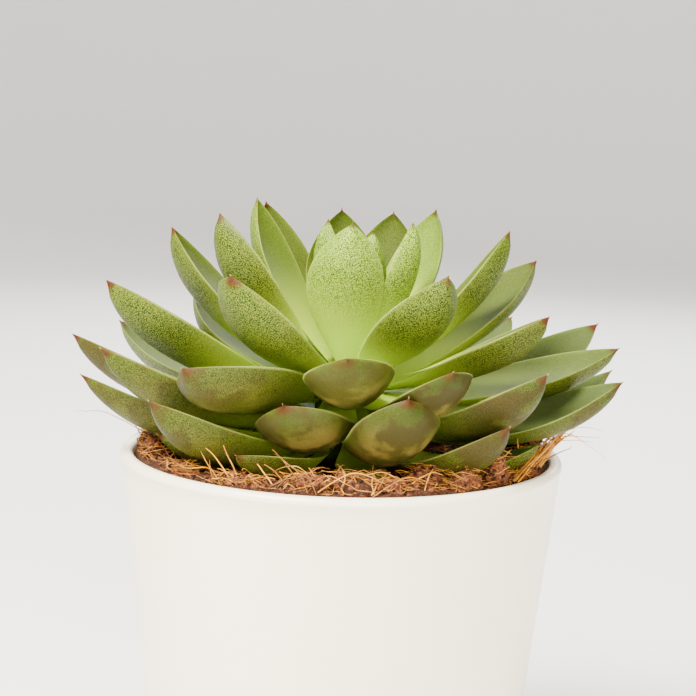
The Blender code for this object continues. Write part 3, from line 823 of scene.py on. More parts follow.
class Blade:
    """A leaf's arc from the stem to its tip, and the fleshy section along it."""

    WIDTH_BY_AGE = ((0, 9), (4, 14), (8, 21), (13, 23), (24, 25), (31, 25.5), (38, 25), (46, 23), (53, 19))
    DEPTH_BY_AGE = ((0, 3), (4, 4), (8, 5), (13, 6), (18, 6.8), (24, 7.2), (31, 7.4), (38, 7.2), (46, 6.5),
                    (53, 5.5))
    CURL_BY_AGE = ((0, 12), (4, 16), (8, 24), (13, 34), (18, 40), (24, 44), (31, 44), (38, 42), (46, 36),
                   (53, 30))
    DEPTH_ALONG = ((0, 0.34), (0.15, 0.5), (0.4, 0.94), (0.6, 1.0), (0.8, 0.76), (0.93, 0.38), (1, 0))
    DISH_ALONG = ((0, -0.06), (0.2, -0.02), (0.5, 0.06), (0.75, 0.12), (0.9, 0.09), (1, 0))
    PALE_BY_AGE = ((0, 1.0), (8, 1.0), (9, 0.85), (11, 0.12), (14, 0.08), (20, 0.03), (53, 0.0))
    ROUNDING = 0.05
    STATIONS = 46
    HALF_RING = 18
    TIP_CROWDING = 1.7
    WIDEST_AT = 0.58
    BLUNT_SHIFT = 0.12
    ROOT_WIDTH = 0.3
    FACE_SHARE = 0.35
    FULLNESS = 0.95
    SWELL_POWER = 1.3
    TAPER_POWER = 2.1
    TAPER_ROUNDNESS = 0.9
    BLUNT_POWER = 0.9
    BELLY_POWER = 2.1
    BELLY_ROUNDNESS = 0.85
    POINT_LENGTH = 2.2
    POINT_RADIUS = 0.55
    POINT_DEPTH = 1.7
    POINT_POWER = 0.7
    POINT_OVERLAP = 0.55
    DISH_END = 0.06
    WAVE = 0.014

    def __init__(self, leaf: Leaf, rosette: Rosette) -> None:
        """Place the leaf.

        Args:
            leaf: The leaf's place and shape.
            rosette: The rosette that it grows in.
        """
        self.leaf = leaf
        self.age = leaf.step + rosette.heart_steps
        self.chance = random.Random(leaf.step)
        self.width = between(self.age, self.WIDTH_BY_AGE) * leaf.wide
        self.depth = between(self.age, self.DEPTH_BY_AGE) * leaf.thick * self.FULLNESS
        self.half_curl = math.radians(between(self.age, self.CURL_BY_AGE) + leaf.curl) / 2
        spiral_side = rosette.first_side + rosette.golden_angle * leaf.step
        swing = signed_turn(leaf.side - spiral_side)
        root_side = spiral_side + rosette.root_swing * swing + leaf.turn
        self.root = rosette.root_point(leaf, root_side)
        self.tip = rosette.tip_axis + polar(leaf.side, leaf.reach, leaf.height)
        self.chord = (self.tip - self.root).length
        self.forward = (self.tip - self.root).normalized()
        self._set_cross_axes(spiral_side + rosette.blade_swing * swing, rosette)

    def _set_cross_axes(self, side: float, rosette: Rosette) -> None:
        """Work out the blade's level axis and the one out of its upper face, turned by its roll.

        Args:
            side: The side that the blade faces.
            rosette: The rosette, whose lean the blade follows.
        """
        lean_axis = UPWARDS.cross(heading(rosette.lean_side))
        across = Matrix.Rotation(math.radians(rosette.lean), 3, lean_axis) @ heading(side + 90.0)
        across = (across - self.forward * across.dot(self.forward)).normalized()
        up = self.forward.cross(across)
        inward = UPWARDS * 0.3 - heading(side)
        if up.dot(inward) < 0:
            up = -up
        turn = math.radians(self.leaf.roll)
        self.across = across * math.cos(turn) + up * math.sin(turn)
        self.up = up * math.cos(turn) - across * math.sin(turn)

    def _smooth_along(self, along: np.ndarray, points: tuple) -> np.ndarray:
        """Values along the blade, rounded where the straight stretches between points meet.

        Args:
            along: Shares of the blade's length.
            points: The values, as (share, value) pairs.

        Returns:
            The value at each share.
        """
        places, values = (np.array(part, float) for part in zip(*points))
        steps = np.linspace(-self.ROUNDING, self.ROUNDING, 9)
        room = np.minimum(1.0, (1.0 - along[:, None]) / self.ROUNDING)
        spread = np.clip(along[:, None] + steps * room, 0, 1)
        return np.interp(spread, places, values).mean(axis=1)

    def half_width(self, along: np.ndarray) -> np.ndarray:
        """Half the blade's width: narrow root, wide shoulder, and a fine point on the tip.

        Args:
            along: Shares of the blade's length.

        Returns:
            The half widths in millimetres.
        """
        point_share = self.POINT_LENGTH / self.chord
        widest = self.WIDEST_AT + self.BLUNT_SHIFT * self.leaf.blunt
        flesh_end = 1.0 - self.POINT_OVERLAP * point_share
        place = np.clip(along / flesh_end, 0.0, 1.0)
        swell = np.sin(math.pi / 2 * np.minimum(place / widest, 1.0)) ** self.SWELL_POWER
        rest = np.clip((place - widest) / (1.0 - widest), 0.0, 1.0)
        power = self.TAPER_POWER + self.BLUNT_POWER * self.leaf.blunt
        taper = (1.0 - rest**power) ** self.TAPER_ROUNDNESS
        flesh = self.width / 2 * (self.ROOT_WIDTH + (1.0 - self.ROOT_WIDTH) * swell) * taper
        thorn = np.clip((1.0 - along) / (2.0 * point_share), 0.0, 1.0)
        return (flesh**3 + (self.POINT_RADIUS * thorn**self.POINT_POWER) ** 3) ** (1 / 3)

    def points(self) -> tuple[np.ndarray, dict[str, np.ndarray]]:
        """The blade's rings of points and what the skin reads at each.

        Returns:
            An array of stations by ring points by three, and a dictionary of attribute arrays.
        """
        along = 1.0 - (1.0 - np.arange(self.STATIONS) / self.STATIONS) ** self.TIP_CROWDING
        turn = self.half_curl * (2.0 * along - 1.0)
        full = 2.0 * math.sin(self.half_curl)
        ahead = self.chord * (0.5 + np.sin(turn) / full)
        rise = self.chord * (math.cos(self.half_curl) - np.cos(turn)) / full
        rise += self.leaf.sag * np.sin(math.pi * along)
        axes = (self.root, self.forward, self.up, self.across)
        root, forward, up, side = (np.array(axis) for axis in axes)
        aside = self.leaf.bow * np.sin(math.pi * along)
        middle = root + np.outer(ahead, forward) + np.outer(rise, up) + np.outer(aside, side)
        upward = np.outer(np.cos(turn), up) - np.outer(np.sin(turn), forward)
        half = self.half_width(along)
        thorn = np.clip((1.0 - along) * self.chord / (2 * self.POINT_LENGTH), 0, 1) ** self.POINT_POWER
        thorn *= self.POINT_RADIUS * self.POINT_DEPTH
        deep = np.maximum(self.depth * self._smooth_along(along, self.DEPTH_ALONG), thorn)
        dish = self.width * self._smooth_along(along, self.DISH_ALONG)
        dish *= np.clip((1.0 - along) / self.DISH_END, 0, 1)
        index = np.arange(2 * self.HALF_RING)
        across = np.cos(math.pi * index / self.HALF_RING)
        under = index > self.HALF_RING
        level = deep[:, None] * self.FACE_SHARE - dish[:, None] * (1.0 - across**2)
        belly = (1.0 - np.abs(across) ** self.BELLY_POWER) ** self.BELLY_ROUNDNESS
        level = level - deep[:, None] * np.where(under, belly, 0.0)
        phase = self.chance.uniform(0.0, 6.3)
        wave = self.WAVE * np.sin(along[:, None] * 9.0 + phase + 1.3 * np.sign(across))
        wave = 1.0 + wave * np.clip((0.9 - along[:, None]) / 0.2, 0.0, 1.0)
        rings = middle[:, None, :] + side * (half[:, None] * across * wave)[:, :, None]
        rings = rings + upward[:, None, :] * level[:, :, None]
        shares = np.broadcast_to(along[:, None], level.shape)
        margin = np.isclose(np.abs(across), 1.0)
        below = np.broadcast_to(np.where(margin, 0.5, under * 1.0), level.shape)
        return rings, {"along": shares, "across": np.broadcast_to(across, level.shape), "under": below}

    def build(self, name: str) -> bpy.types.Mesh:
        """Make the leaf and paint on it what its skin reads.

        Args:
            name: The mesh's name.

        Returns:
            The leaf, closed at its root and tip.
        """
        rings, values = self.points()
        mesh = tube_mesh(name, rings, np.array(self.root), np.array(self.tip))
        ends = {"along": (0.0, 1.0), "across": (0.0, 0.0), "under": (0.5, 0.5)}
        for label, array in values.items():
            paint(mesh, label, np.concatenate([array.ravel(), ends[label]]))
        back = 0.5 - 0.5 * math.cos(math.radians(self.leaf.side))
        right = max(0.0, math.sin(math.radians(self.leaf.side)))
        marks = {"bloom": share_of(self.age, 16.0, 24.0) * (0.15 + 0.35 * back + 0.5 * right),
                 "blush": self.leaf.blush,
                 # The blunt blushed leaves: smoother stipple and a stronger painted highlight on the belly
                 "satin": self.leaf.blunt if self.leaf.blush else 0.0,
                 "pale": between(self.age, self.PALE_BY_AGE),
                 "seed": self.chance.uniform(0.0, 40.0),
                 "red": 0.55 + 0.45 * self.chance.random()}
        for label, value in marks.items():
            paint(mesh, label, value)
        return mesh


# Pot


def outer_radius(height: float) -> float:
    """The radius of the pot's outside at a height over the rim."""
    return RIM_RADIUS + height * math.tan(math.radians(POT_TAPER))


def inner_radius(height: float) -> float:
    """The radius of the pot's inside at a height over the rim."""
    return outer_radius(height) - WALL


@dataclass
class Pot:
    """The tapered cup with a rounded lip, a rounded foot and an evenly thick wall."""

    floor: float = 6.0
    foot_round: float = 2.5
    cove: float = 3.0
    sides: int = 192
    wall_rings: int = 24
    bend_gap: float = 1.0
    lip_gap: float = 0.6

    def profile(self) -> list[tuple[float, float]]:
        """The pot's section, from under the foot to the inner floor.

        Returns:
            Its points, as (radius, height) pairs.
        """
        half_wall = WALL / 2
        foot = (outer_radius(-POT_HEIGHT) - self.foot_round, self.foot_round - POT_HEIGHT)
        lip = (RIM_RADIUS - half_wall, -half_wall)
        floor = self.floor - POT_HEIGHT
        cove = (inner_radius(floor + self.cove) - self.cove, floor + self.cove)
        low, high, deep = foot[1] + self.bend_gap, -half_wall - self.lip_gap, cove[1] + self.bend_gap
        outside = np.linspace(low, high, self.wall_rings + 1)
        inside = np.linspace(high, deep, self.wall_rings + 1)[1:-1]
        points = [(foot[0] * share, -POT_HEIGHT) for share in (0.3, 0.6, 0.9)]
        points += self.arc(foot, self.foot_round, -90.0, -POT_TAPER, 8)
        points += [(outer_radius(height), height) for height in outside]
        points += self.arc(lip, half_wall, -POT_TAPER, 180.0 - POT_TAPER, 14)
        points += [(inner_radius(height), height) for height in inside]
        return points + self.arc(cove, self.cove, 0.0, -90.0, 6)

    @staticmethod
    def arc(middle: tuple[float, float], radius: float, start: float, stop: float, steps: int) -> list:
        """Points of an arc in the section.

        Args:
            middle: The arc's middle as (radius, height).
            radius: Its radius.
            start: The angle that it starts at.
            stop: The angle that it ends at.
            steps: How many chords it has.

        Returns:
            The points.
        """
        turns = np.radians(np.linspace(start, stop, steps + 1))
        return [(middle[0] + radius * math.cos(t), middle[1] + radius * math.sin(t)) for t in turns]

    def build(self, glaze: bpy.types.Material) -> None:
        """Make the pot.

        Args:
            glaze: Its material.
        """
        rings = np.array([level_ring(circle(self.sides), *point) for point in self.profile()])
        mesh = tube_mesh("cover_pot", rings, (0.0, 0.0, -POT_HEIGHT), (0.0, 0.0, self.floor - POT_HEIGHT))
        finish_piece(link_piece(mesh, glaze), Slot.POT, "pot")


# Soil


@dataclass(frozen=True)
class Lump:
    """A lump of coir pith: where it lies, how far it rises out of the soil and its half sizes."""

    side: float
    radius: float
    rise: float
    wide: float
    deep: float
    tall: float


LUMPS = (
    Lump(49, 57.0, 2.0, 4.0, 2.5, 5.4),
    Lump(37, 56.4, 0.8, 4.4, 2.8, 3.2),
    Lump(27, 50.0, 0.4, 5.4, 4.0, 3.8),
    Lump(14, 55.5, 0.2, 4.0, 3.2, 2.2),
    Lump(66, 57.4, 0.2, 4.0, 2.6, 2.6),
    Lump(104, 57.6, -0.2, 3.8, 2.4, 2.4),
    Lump(-8, 54.0, 0.0, 4.4, 3.4, 2.0),
    Lump(-28, 55.5, 0.1, 4.0, 3.0, 2.0),
    Lump(-50, 56.0, 0.0, 4.6, 2.8, 2.0),
    Lump(-76, 56.5, 0.4, 4.0, 2.8, 3.0),
    Lump(-93, 56.0, 0.8, 4.2, 3.0, 3.4),
    Lump(-128, 55.0, 0.2, 4.8, 3.6, 2.4),
    Lump(-160, 54.5, 0.2, 4.4, 3.6, 2.4),
    Lump(172, 55.5, 0.0, 4.0, 3.4, 2.2),
    Lump(140, 55.0, 0.3, 4.8, 3.6, 2.6),
    Lump(118, 56.0, 0.2, 4.2, 3.0, 2.6),
)
TUFT_KNOT = Lump(86, 56.3, 1.65, 3.6, 2.2, 1.6)


@dataclass(frozen=True)
class Fibre:
    """A coir fibre from where it starts to its free end, how high it arches and how much it curls."""

    side: float
    radius: float
    rise: float
    end_side: float
    end_radius: float
    end_height: float
    arch: float = 1.0
    curl: float = 0.6
    thick: float = 0.42


FRONT_FIBRES = (
    # Standing up
    Fibre(-34, 57.0, -1.0, -43, 56.5, 7.0, 0.2, 0.5),
    Fibre(-36, 58.0, -1.0, -36, 60.0, 5.8, 0.3, 0.3),
    Fibre(-30, 57.5, -0.6, -44, 55.5, 8.4, 1.8, 0.5, 0.36),
    Fibre(-9, 52.0, -1.0, -24, 46.0, 6.4, 0.8, 0.6),
    Fibre(-14, 55.0, -1.0, -30, 50.0, 5.6, 1.8, 0.7),
    Fibre(20, 54.0, -1.0, 6, 57.5, 4.6, 2.4, 0.9),
    Fibre(35.5, 53.5, -1.0, 36.5, 47.0, 9.8, 0.4, 0.3, 0.5),
    Fibre(67.0, 55.0, -1.0, 68.0, 54.0, 8.6, 0.3, 0.3, 0.42),
    Fibre(-29, 55.0, -1.0, -40, 52.0, 10.4, 0.6, 0.4, 0.42),
    Fibre(-10, 55.0, -1.0, -21, 52.0, 9.2, 0.6, 0.4, 0.42),
    Fibre(-18, 56.0, -1.0, -29, 52.0, 6.4, 1.2, 0.5, 0.4),
    Fibre(57, 57.6, -0.6, 66, 56.0, 4.4, 0.4, 0.2, 0.6),
    # Loose loops over the front
    Fibre(-6, 57.5, -0.2, 12, 58.5, 2.6, 4.0, 1.6, 0.36),
    Fibre(8, 58.5, -0.4, 27, 58.0, 1.6, 3.4, 1.4, 0.4),
    Fibre(-20, 58.0, -0.4, -2, 59.0, 1.8, 3.0, 1.6, 0.36),
    Fibre(28, 59.0, -0.4, 12, 59.4, 1.0, 2.4, 1.2, 0.34),
    Fibre(-44, 58.0, -0.4, -60, 59.4, 1.6, 2.2, 1.0, 0.36),
    # On the left heap, with a long thin one that leaves over the rim
    Fibre(-88, 58.0, 0.0, -86, 79.0, 9.0, 2.4, 1.4, 0.28),
    Fibre(-80, 56.0, -0.6, -93, 61.5, 7.4, 2.0, 0.9, 0.4),
    Fibre(-98, 56.0, -0.6, -85, 61.0, 6.6, 1.8, 0.9, 0.4),
    Fibre(-74, 57.0, -0.6, -85, 61.5, 7.2, 0.8, 0.7, 0.42),
    Fibre(-66, 57.0, -0.6, -75, 60.5, 3.6, 1.0, 0.8, 0.4),
    Fibre(-92, 57.0, -0.6, -78, 60.8, 5.8, 2.6, 1.0, 0.36),
)

TUFT_FIBRES = (
    # Long ones on the outside of the bundle
    Fibre(53.5, 59.5, 0.8, 84, 62.5, 5.6, 0.4, 0.2, 0.62),
    Fibre(57.0, 59.5, 0.4, 91, 66.0, 9.8, 0.2, 0.2, 0.58),
    Fibre(76.0, 58.0, 0.4, 88, 68.5, 10.4, 0.4, 0.2, 0.54),
    # Thin curls that hang out over the rim
    Fibre(84.0, 57.0, 0.6, 86, 74.0, 5.0, 1.6, 0.8, 0.32),
    Fibre(85.0, 57.0, 0.8, 84, 75.5, 6.4, 2.2, 1.4, 0.3),
    Fibre(86.0, 57.0, 0.8, 89, 77.0, 8.8, 2.0, 1.4, 0.28),
    Fibre(87.0, 57.0, 0.6, 84, 77.5, 0.8, 4.5, 1.2, 0.28),
)


@dataclass
class Soil:
    """Coir that fills the pot, lower under the leaves and heaped against the rim at both sides."""

    FIBRE_STEPS = 18
    FIBRE_CORNERS = 5
    FIBRE_BENDS = 2.2
    FIBRE_SWAY = 2.2
    LOOSE_END = 0.87
    STRAW_SIDES = (-6.0, 19.0)
    STRAW_RADII = (50.0, 59.5)
    STRAW_LENGTHS = (5.0, 14.0)
    STRAW_RISES = (-0.4, 0.6)
    STRAW_ARCHES = (0.2, 2.2)
    STRAW_CURLS = (0.3, 1.6)
    STRAW_THICKNESSES = (0.3, 0.46)
    STRAW_REACH = 59.8
    TUFT_SIDES = (54.0, 76.0)
    TUFT_RADII = (57.5, 59.8)
    TUFT_RISES = (0.0, 1.2)
    TUFT_ENDS = (62.5, 68.0)
    TUFT_ARCHES = (0.2, 1.4)
    TUFT_CURLS = (0.2, 0.6)
    TUFT_THICKNESS = 0.56

    hollow: float = -5.0
    rim: float = -0.8
    edge: float = -1.6
    bottom: float = -108.7
    cove: float = 3.5
    hollow_radius: float = 46.0
    slope_width: float = 9.0
    heap_height: float = 5.0
    heap_spread: float = 13.0
    heap_sides: tuple[float, float] = (-92.0, 92.0)
    heap_end: float = 61.5
    heap_fall: float = 4.0
    front_heap: float = 6.5
    front_side: float = 4.0
    front_radius: float = 47.5
    front_spread: float = 34.0
    front_width: float = 6.5
    stem: tuple[float, float] = (0.3, 1.9)
    hole_radius: float = 5.8
    hole_floor: float = -18.3
    sides: int = 420
    rings: int = 54
    top_start: float = 9.0
    top_end: float = 60.0
    fade_radius: float = 24.0
    relief_start: float = 34.0
    relief_growth: float = 10.0
    relief_end: float = 60.6
    relief_fall: float = 1.2
    gap: float = 0.3

    def height(self, side: float, radius: float) -> float:
        """The height over the rim of the soil's broad surface.

        Args:
            side: The side that is asked about.
            radius: How far from the pot's axis.

        Returns:
            The height.
        """
        slope = share_of(radius, self.hollow_radius, self.slope_width)
        slope = slope * slope * (3.0 - 2.0 * slope)
        height = self.hollow + (self.rim - self.hollow) * slope
        for heap_side in self.heap_sides:
            away = signed_turn(side - heap_side) / self.heap_spread
            fall = share_of(radius, self.heap_end, -self.heap_fall)
            height += self.heap_height * math.exp(-away * away) * slope * fall
        away = signed_turn(side - self.front_side) / self.front_spread
        inwards = (radius - self.front_radius) / self.front_width
        height += self.front_heap * math.exp(-away * away - inwards * inwards)
        place = polar(side, radius, 0.0)
        swells, lumps = noise.noise(place * 0.16), noise.noise(place * 0.4)
        return height + 0.5 * (1.0 + slope) * (swells + 0.5 * lumps)

    def crumble(self, place: Vector) -> float:
        """The fine relief of pith and crumbs at a point, up and down from the broad surface."""
        coarse = noise.ridged_multi_fractal(place * 0.32, 0.9, 2.1, 4, 1.0, 2.0) - 1.2
        return 0.55 * coarse + 0.35 * noise.noise(place * 1.9)

    def surface(self) -> np.ndarray:
        """The rings of points over the top of the soil, from the stem outwards.

        Returns:
            Rings by points by three, in millimetres.
        """
        rings = []
        for step in np.linspace(0.0, 1.0, self.rings):
            radius = self.top_start + (self.top_end - self.top_start) * step**0.72
            blend = max(0.0, 1.0 - radius / self.fade_radius)
            relief = share_of(radius, self.relief_start, self.relief_growth)
            relief *= share_of(radius, self.relief_end, -self.relief_fall)
            ring = []
            for index in range(self.sides):
                side = 360.0 * index / self.sides
                point = polar(side, radius, self.height(side, radius))
                point.z += self.crumble(point) * relief
                ring.append((point.x + self.stem[0] * blend, point.y + self.stem[1] * blend, point.z))
            rings.append(ring)
        return np.array(rings)

    def build(self, pith: bpy.types.Material) -> None:
        """Make the body of the soil, with its rough top and the hole for the stem, and its lumps.

        Args:
            pith: Its material.
        """
        around = circle(self.sides)
        levels = (self.hole_floor, self.hollow)
        rings = [level_ring(around, self.hole_radius, level, self.stem) for level in levels]
        rings += list(self.surface())
        cove_top = self.bottom + self.cove
        rings.append(level_ring(around, inner_radius(self.edge) - self.gap, self.edge))
        rings.append(level_ring(around, inner_radius(cove_top) - self.gap, cove_top))
        rings.append(level_ring(around, inner_radius(self.bottom) - self.gap - self.cove, self.bottom))
        bed = tube_mesh("coir_bed", np.array(rings), (*self.stem, self.hole_floor), (0.0, 0.0, self.bottom))
        lumps = self.lump_mesh(LUMPS, "coir_lumps")
        for mesh, shade, nodes in ((bed, 0.25, ("soil",)), (lumps, 0.55, ())):
            paint(mesh, "shade", shade)
            finish_piece(link_piece(mesh, pith), Slot.SOIL, *nodes)

    def lump_mesh(self, lumps: tuple[Lump, ...], name: str) -> bpy.types.Mesh:
        """Rough lumps of pith as one mesh.

        Args:
            lumps: The lumps.
            name: The mesh's name.

        Returns:
            The mesh, in metres, with no material yet.
        """
        whole = bmesh.new()
        for seed, lump in enumerate(lumps):
            made = bmesh.ops.create_icosphere(whole, subdivisions=5, radius=1.0)["verts"]
            offset = Vector((seed * 7.3, 0.0, 0.0))
            middle = polar(lump.side, lump.radius, self.height(lump.side, lump.radius) + lump.rise)
            turn = Matrix.Rotation(math.radians(lump.side), 3, "Z")
            for vertex in made:
                place = vertex.co.copy()
                swell = 1.0 + 0.3 * noise.noise(place * 1.4 + offset)
                swell += 0.09 * noise.noise(place * 4.0 + offset) + 0.05 * noise.noise(place * 9.0 + offset)
                swell -= 0.06 * max(0.0, noise.noise(place * 14.0 + offset))
                size = Vector((place.x * lump.wide, place.y * lump.deep, place.z * lump.tall)) * swell
                vertex.co = (turn @ size + middle + UPWARDS * POT_HEIGHT) * MM
        mesh = joined(name, whole)
        turn_faces_out(mesh)
        return mesh

    def fibre_rings(self, fibre: Fibre, chance: random.Random) -> np.ndarray:
        """The rings of points round one fibre.

        Args:
            fibre: The fibre.
            chance: Where its curl comes from.

        Returns:
            Rings by points by three, in millimetres.
        """
        start = polar(fibre.side, fibre.radius, self.height(fibre.side, fibre.radius) + fibre.rise)
        reach = polar(fibre.end_side, fibre.end_radius, fibre.end_height) - start
        aside = reach.cross(UPWARDS).normalized()
        above = aside.cross(reach).normalized()
        seed = Vector((chance.uniform(0, 90), chance.uniform(0, 90), 0.0))
        turns = np.radians(np.arange(self.FIBRE_CORNERS) * 360.0 / self.FIBRE_CORNERS)
        rings = []
        for index in range(self.FIBRE_STEPS + 1):
            along = index / self.FIBRE_STEPS
            loose = math.sin(math.pi * along) if along < self.LOOSE_END else 1.0
            place = seed + Vector((along * self.FIBRE_BENDS, 0.0, 0.0))
            sway = fibre.curl * self.FIBRE_SWAY * along**0.6 * loose
            point = start + reach * along + UPWARDS * fibre.arch * math.sin(math.pi * along)
            point += aside * noise.noise(place) * sway
            point += above * noise.noise(place + UPWARDS * 40.5) * sway * 0.6
            radius = fibre.thick / 2 * (1.1 - 0.7 * along**1.5)
            rings.append([tuple(point + (aside * math.cos(t) + above * math.sin(t)) * radius) for t in turns])
        return np.array(rings)

    def loose_straws(self, count: int, seed: int) -> tuple[Fibre, ...]:
        """Short stiff fibres that lie over one another at the front of the pot.

        Args:
            count: How many there are.
            seed: Where their places come from.

        Returns:
            The fibres.
        """
        chance = random.Random(seed)
        straws = []
        for _ in range(count):
            side, radius = chance.gauss(*self.STRAW_SIDES), chance.uniform(*self.STRAW_RADII)
            way = chance.uniform(0.0, 2.0 * math.pi)
            length = chance.uniform(*self.STRAW_LENGTHS)
            end_radius = min(self.STRAW_REACH, radius + length * math.cos(way) * 0.5)
            end_side = side + math.degrees(length * math.sin(way) / radius)
            end_height = self.height(end_side, end_radius) + chance.uniform(0.2, 1.0) ** 2 * 4.0
            ranges = (self.STRAW_ARCHES, self.STRAW_CURLS, self.STRAW_THICKNESSES)
            shape = [chance.uniform(*ends) for ends in ranges]
            rise = chance.uniform(*self.STRAW_RISES)
            straws.append(Fibre(side, radius, rise, end_side, end_radius, end_height, *shape))
        return tuple(straws)

    def tuft_bundle(self, count: int, seed: int) -> tuple[Fibre, ...]:
        """Long straight fibres that lean together over the rim at the right.

        Args:
            count: How many there are.
            seed: Where their places come from.

        Returns:
            The fibres.
        """
        chance = random.Random(seed)
        bundle = []
        for share in np.linspace(0.0, 1.0, count):
            ranges = (self.TUFT_SIDES, self.TUFT_RADII, self.TUFT_RISES, self.TUFT_ENDS)
            side, radius, rise, end_radius = (chance.uniform(*ends) for ends in ranges)
            end = (82.0 + 10.0 * share, end_radius, 5.5 + 4.0 * share + chance.uniform(-0.8, 0.8))
            shape = [chance.uniform(*ends) for ends in (self.TUFT_ARCHES, self.TUFT_CURLS)]
            bundle.append(Fibre(side, radius, rise, *end, *shape, self.TUFT_THICKNESS))
        return tuple(bundle)

    def lay_fibres(self, fibres: tuple[Fibre, ...], name: str, seed: int, straw: bpy.types.Material,
                   slot: Slot) -> None:
        """Make fibres, given one by one, as one piece.

        Args:
            fibres: The fibres.
            name: The piece's name.
            seed: Where their curls come from.
            straw: Their material.
            slot: Their slot.
        """
        chance = random.Random(seed)
        whole = bmesh.new()
        shade = []
        for fibre in fibres:
            rings = self.fibre_rings(fibre, chance)
            single = tube_mesh("one_fibre", rings, rings[0].mean(axis=0), rings[-1].mean(axis=0))
            shade += [chance.uniform(0.1, 0.95)] * len(single.vertices)
            whole.from_mesh(single)
            bpy.data.meshes.remove(single)
        mesh = joined(name, whole)
        paint(mesh, "shade", np.array(shade, np.float32))
        finish_piece(link_piece(mesh, straw), slot)


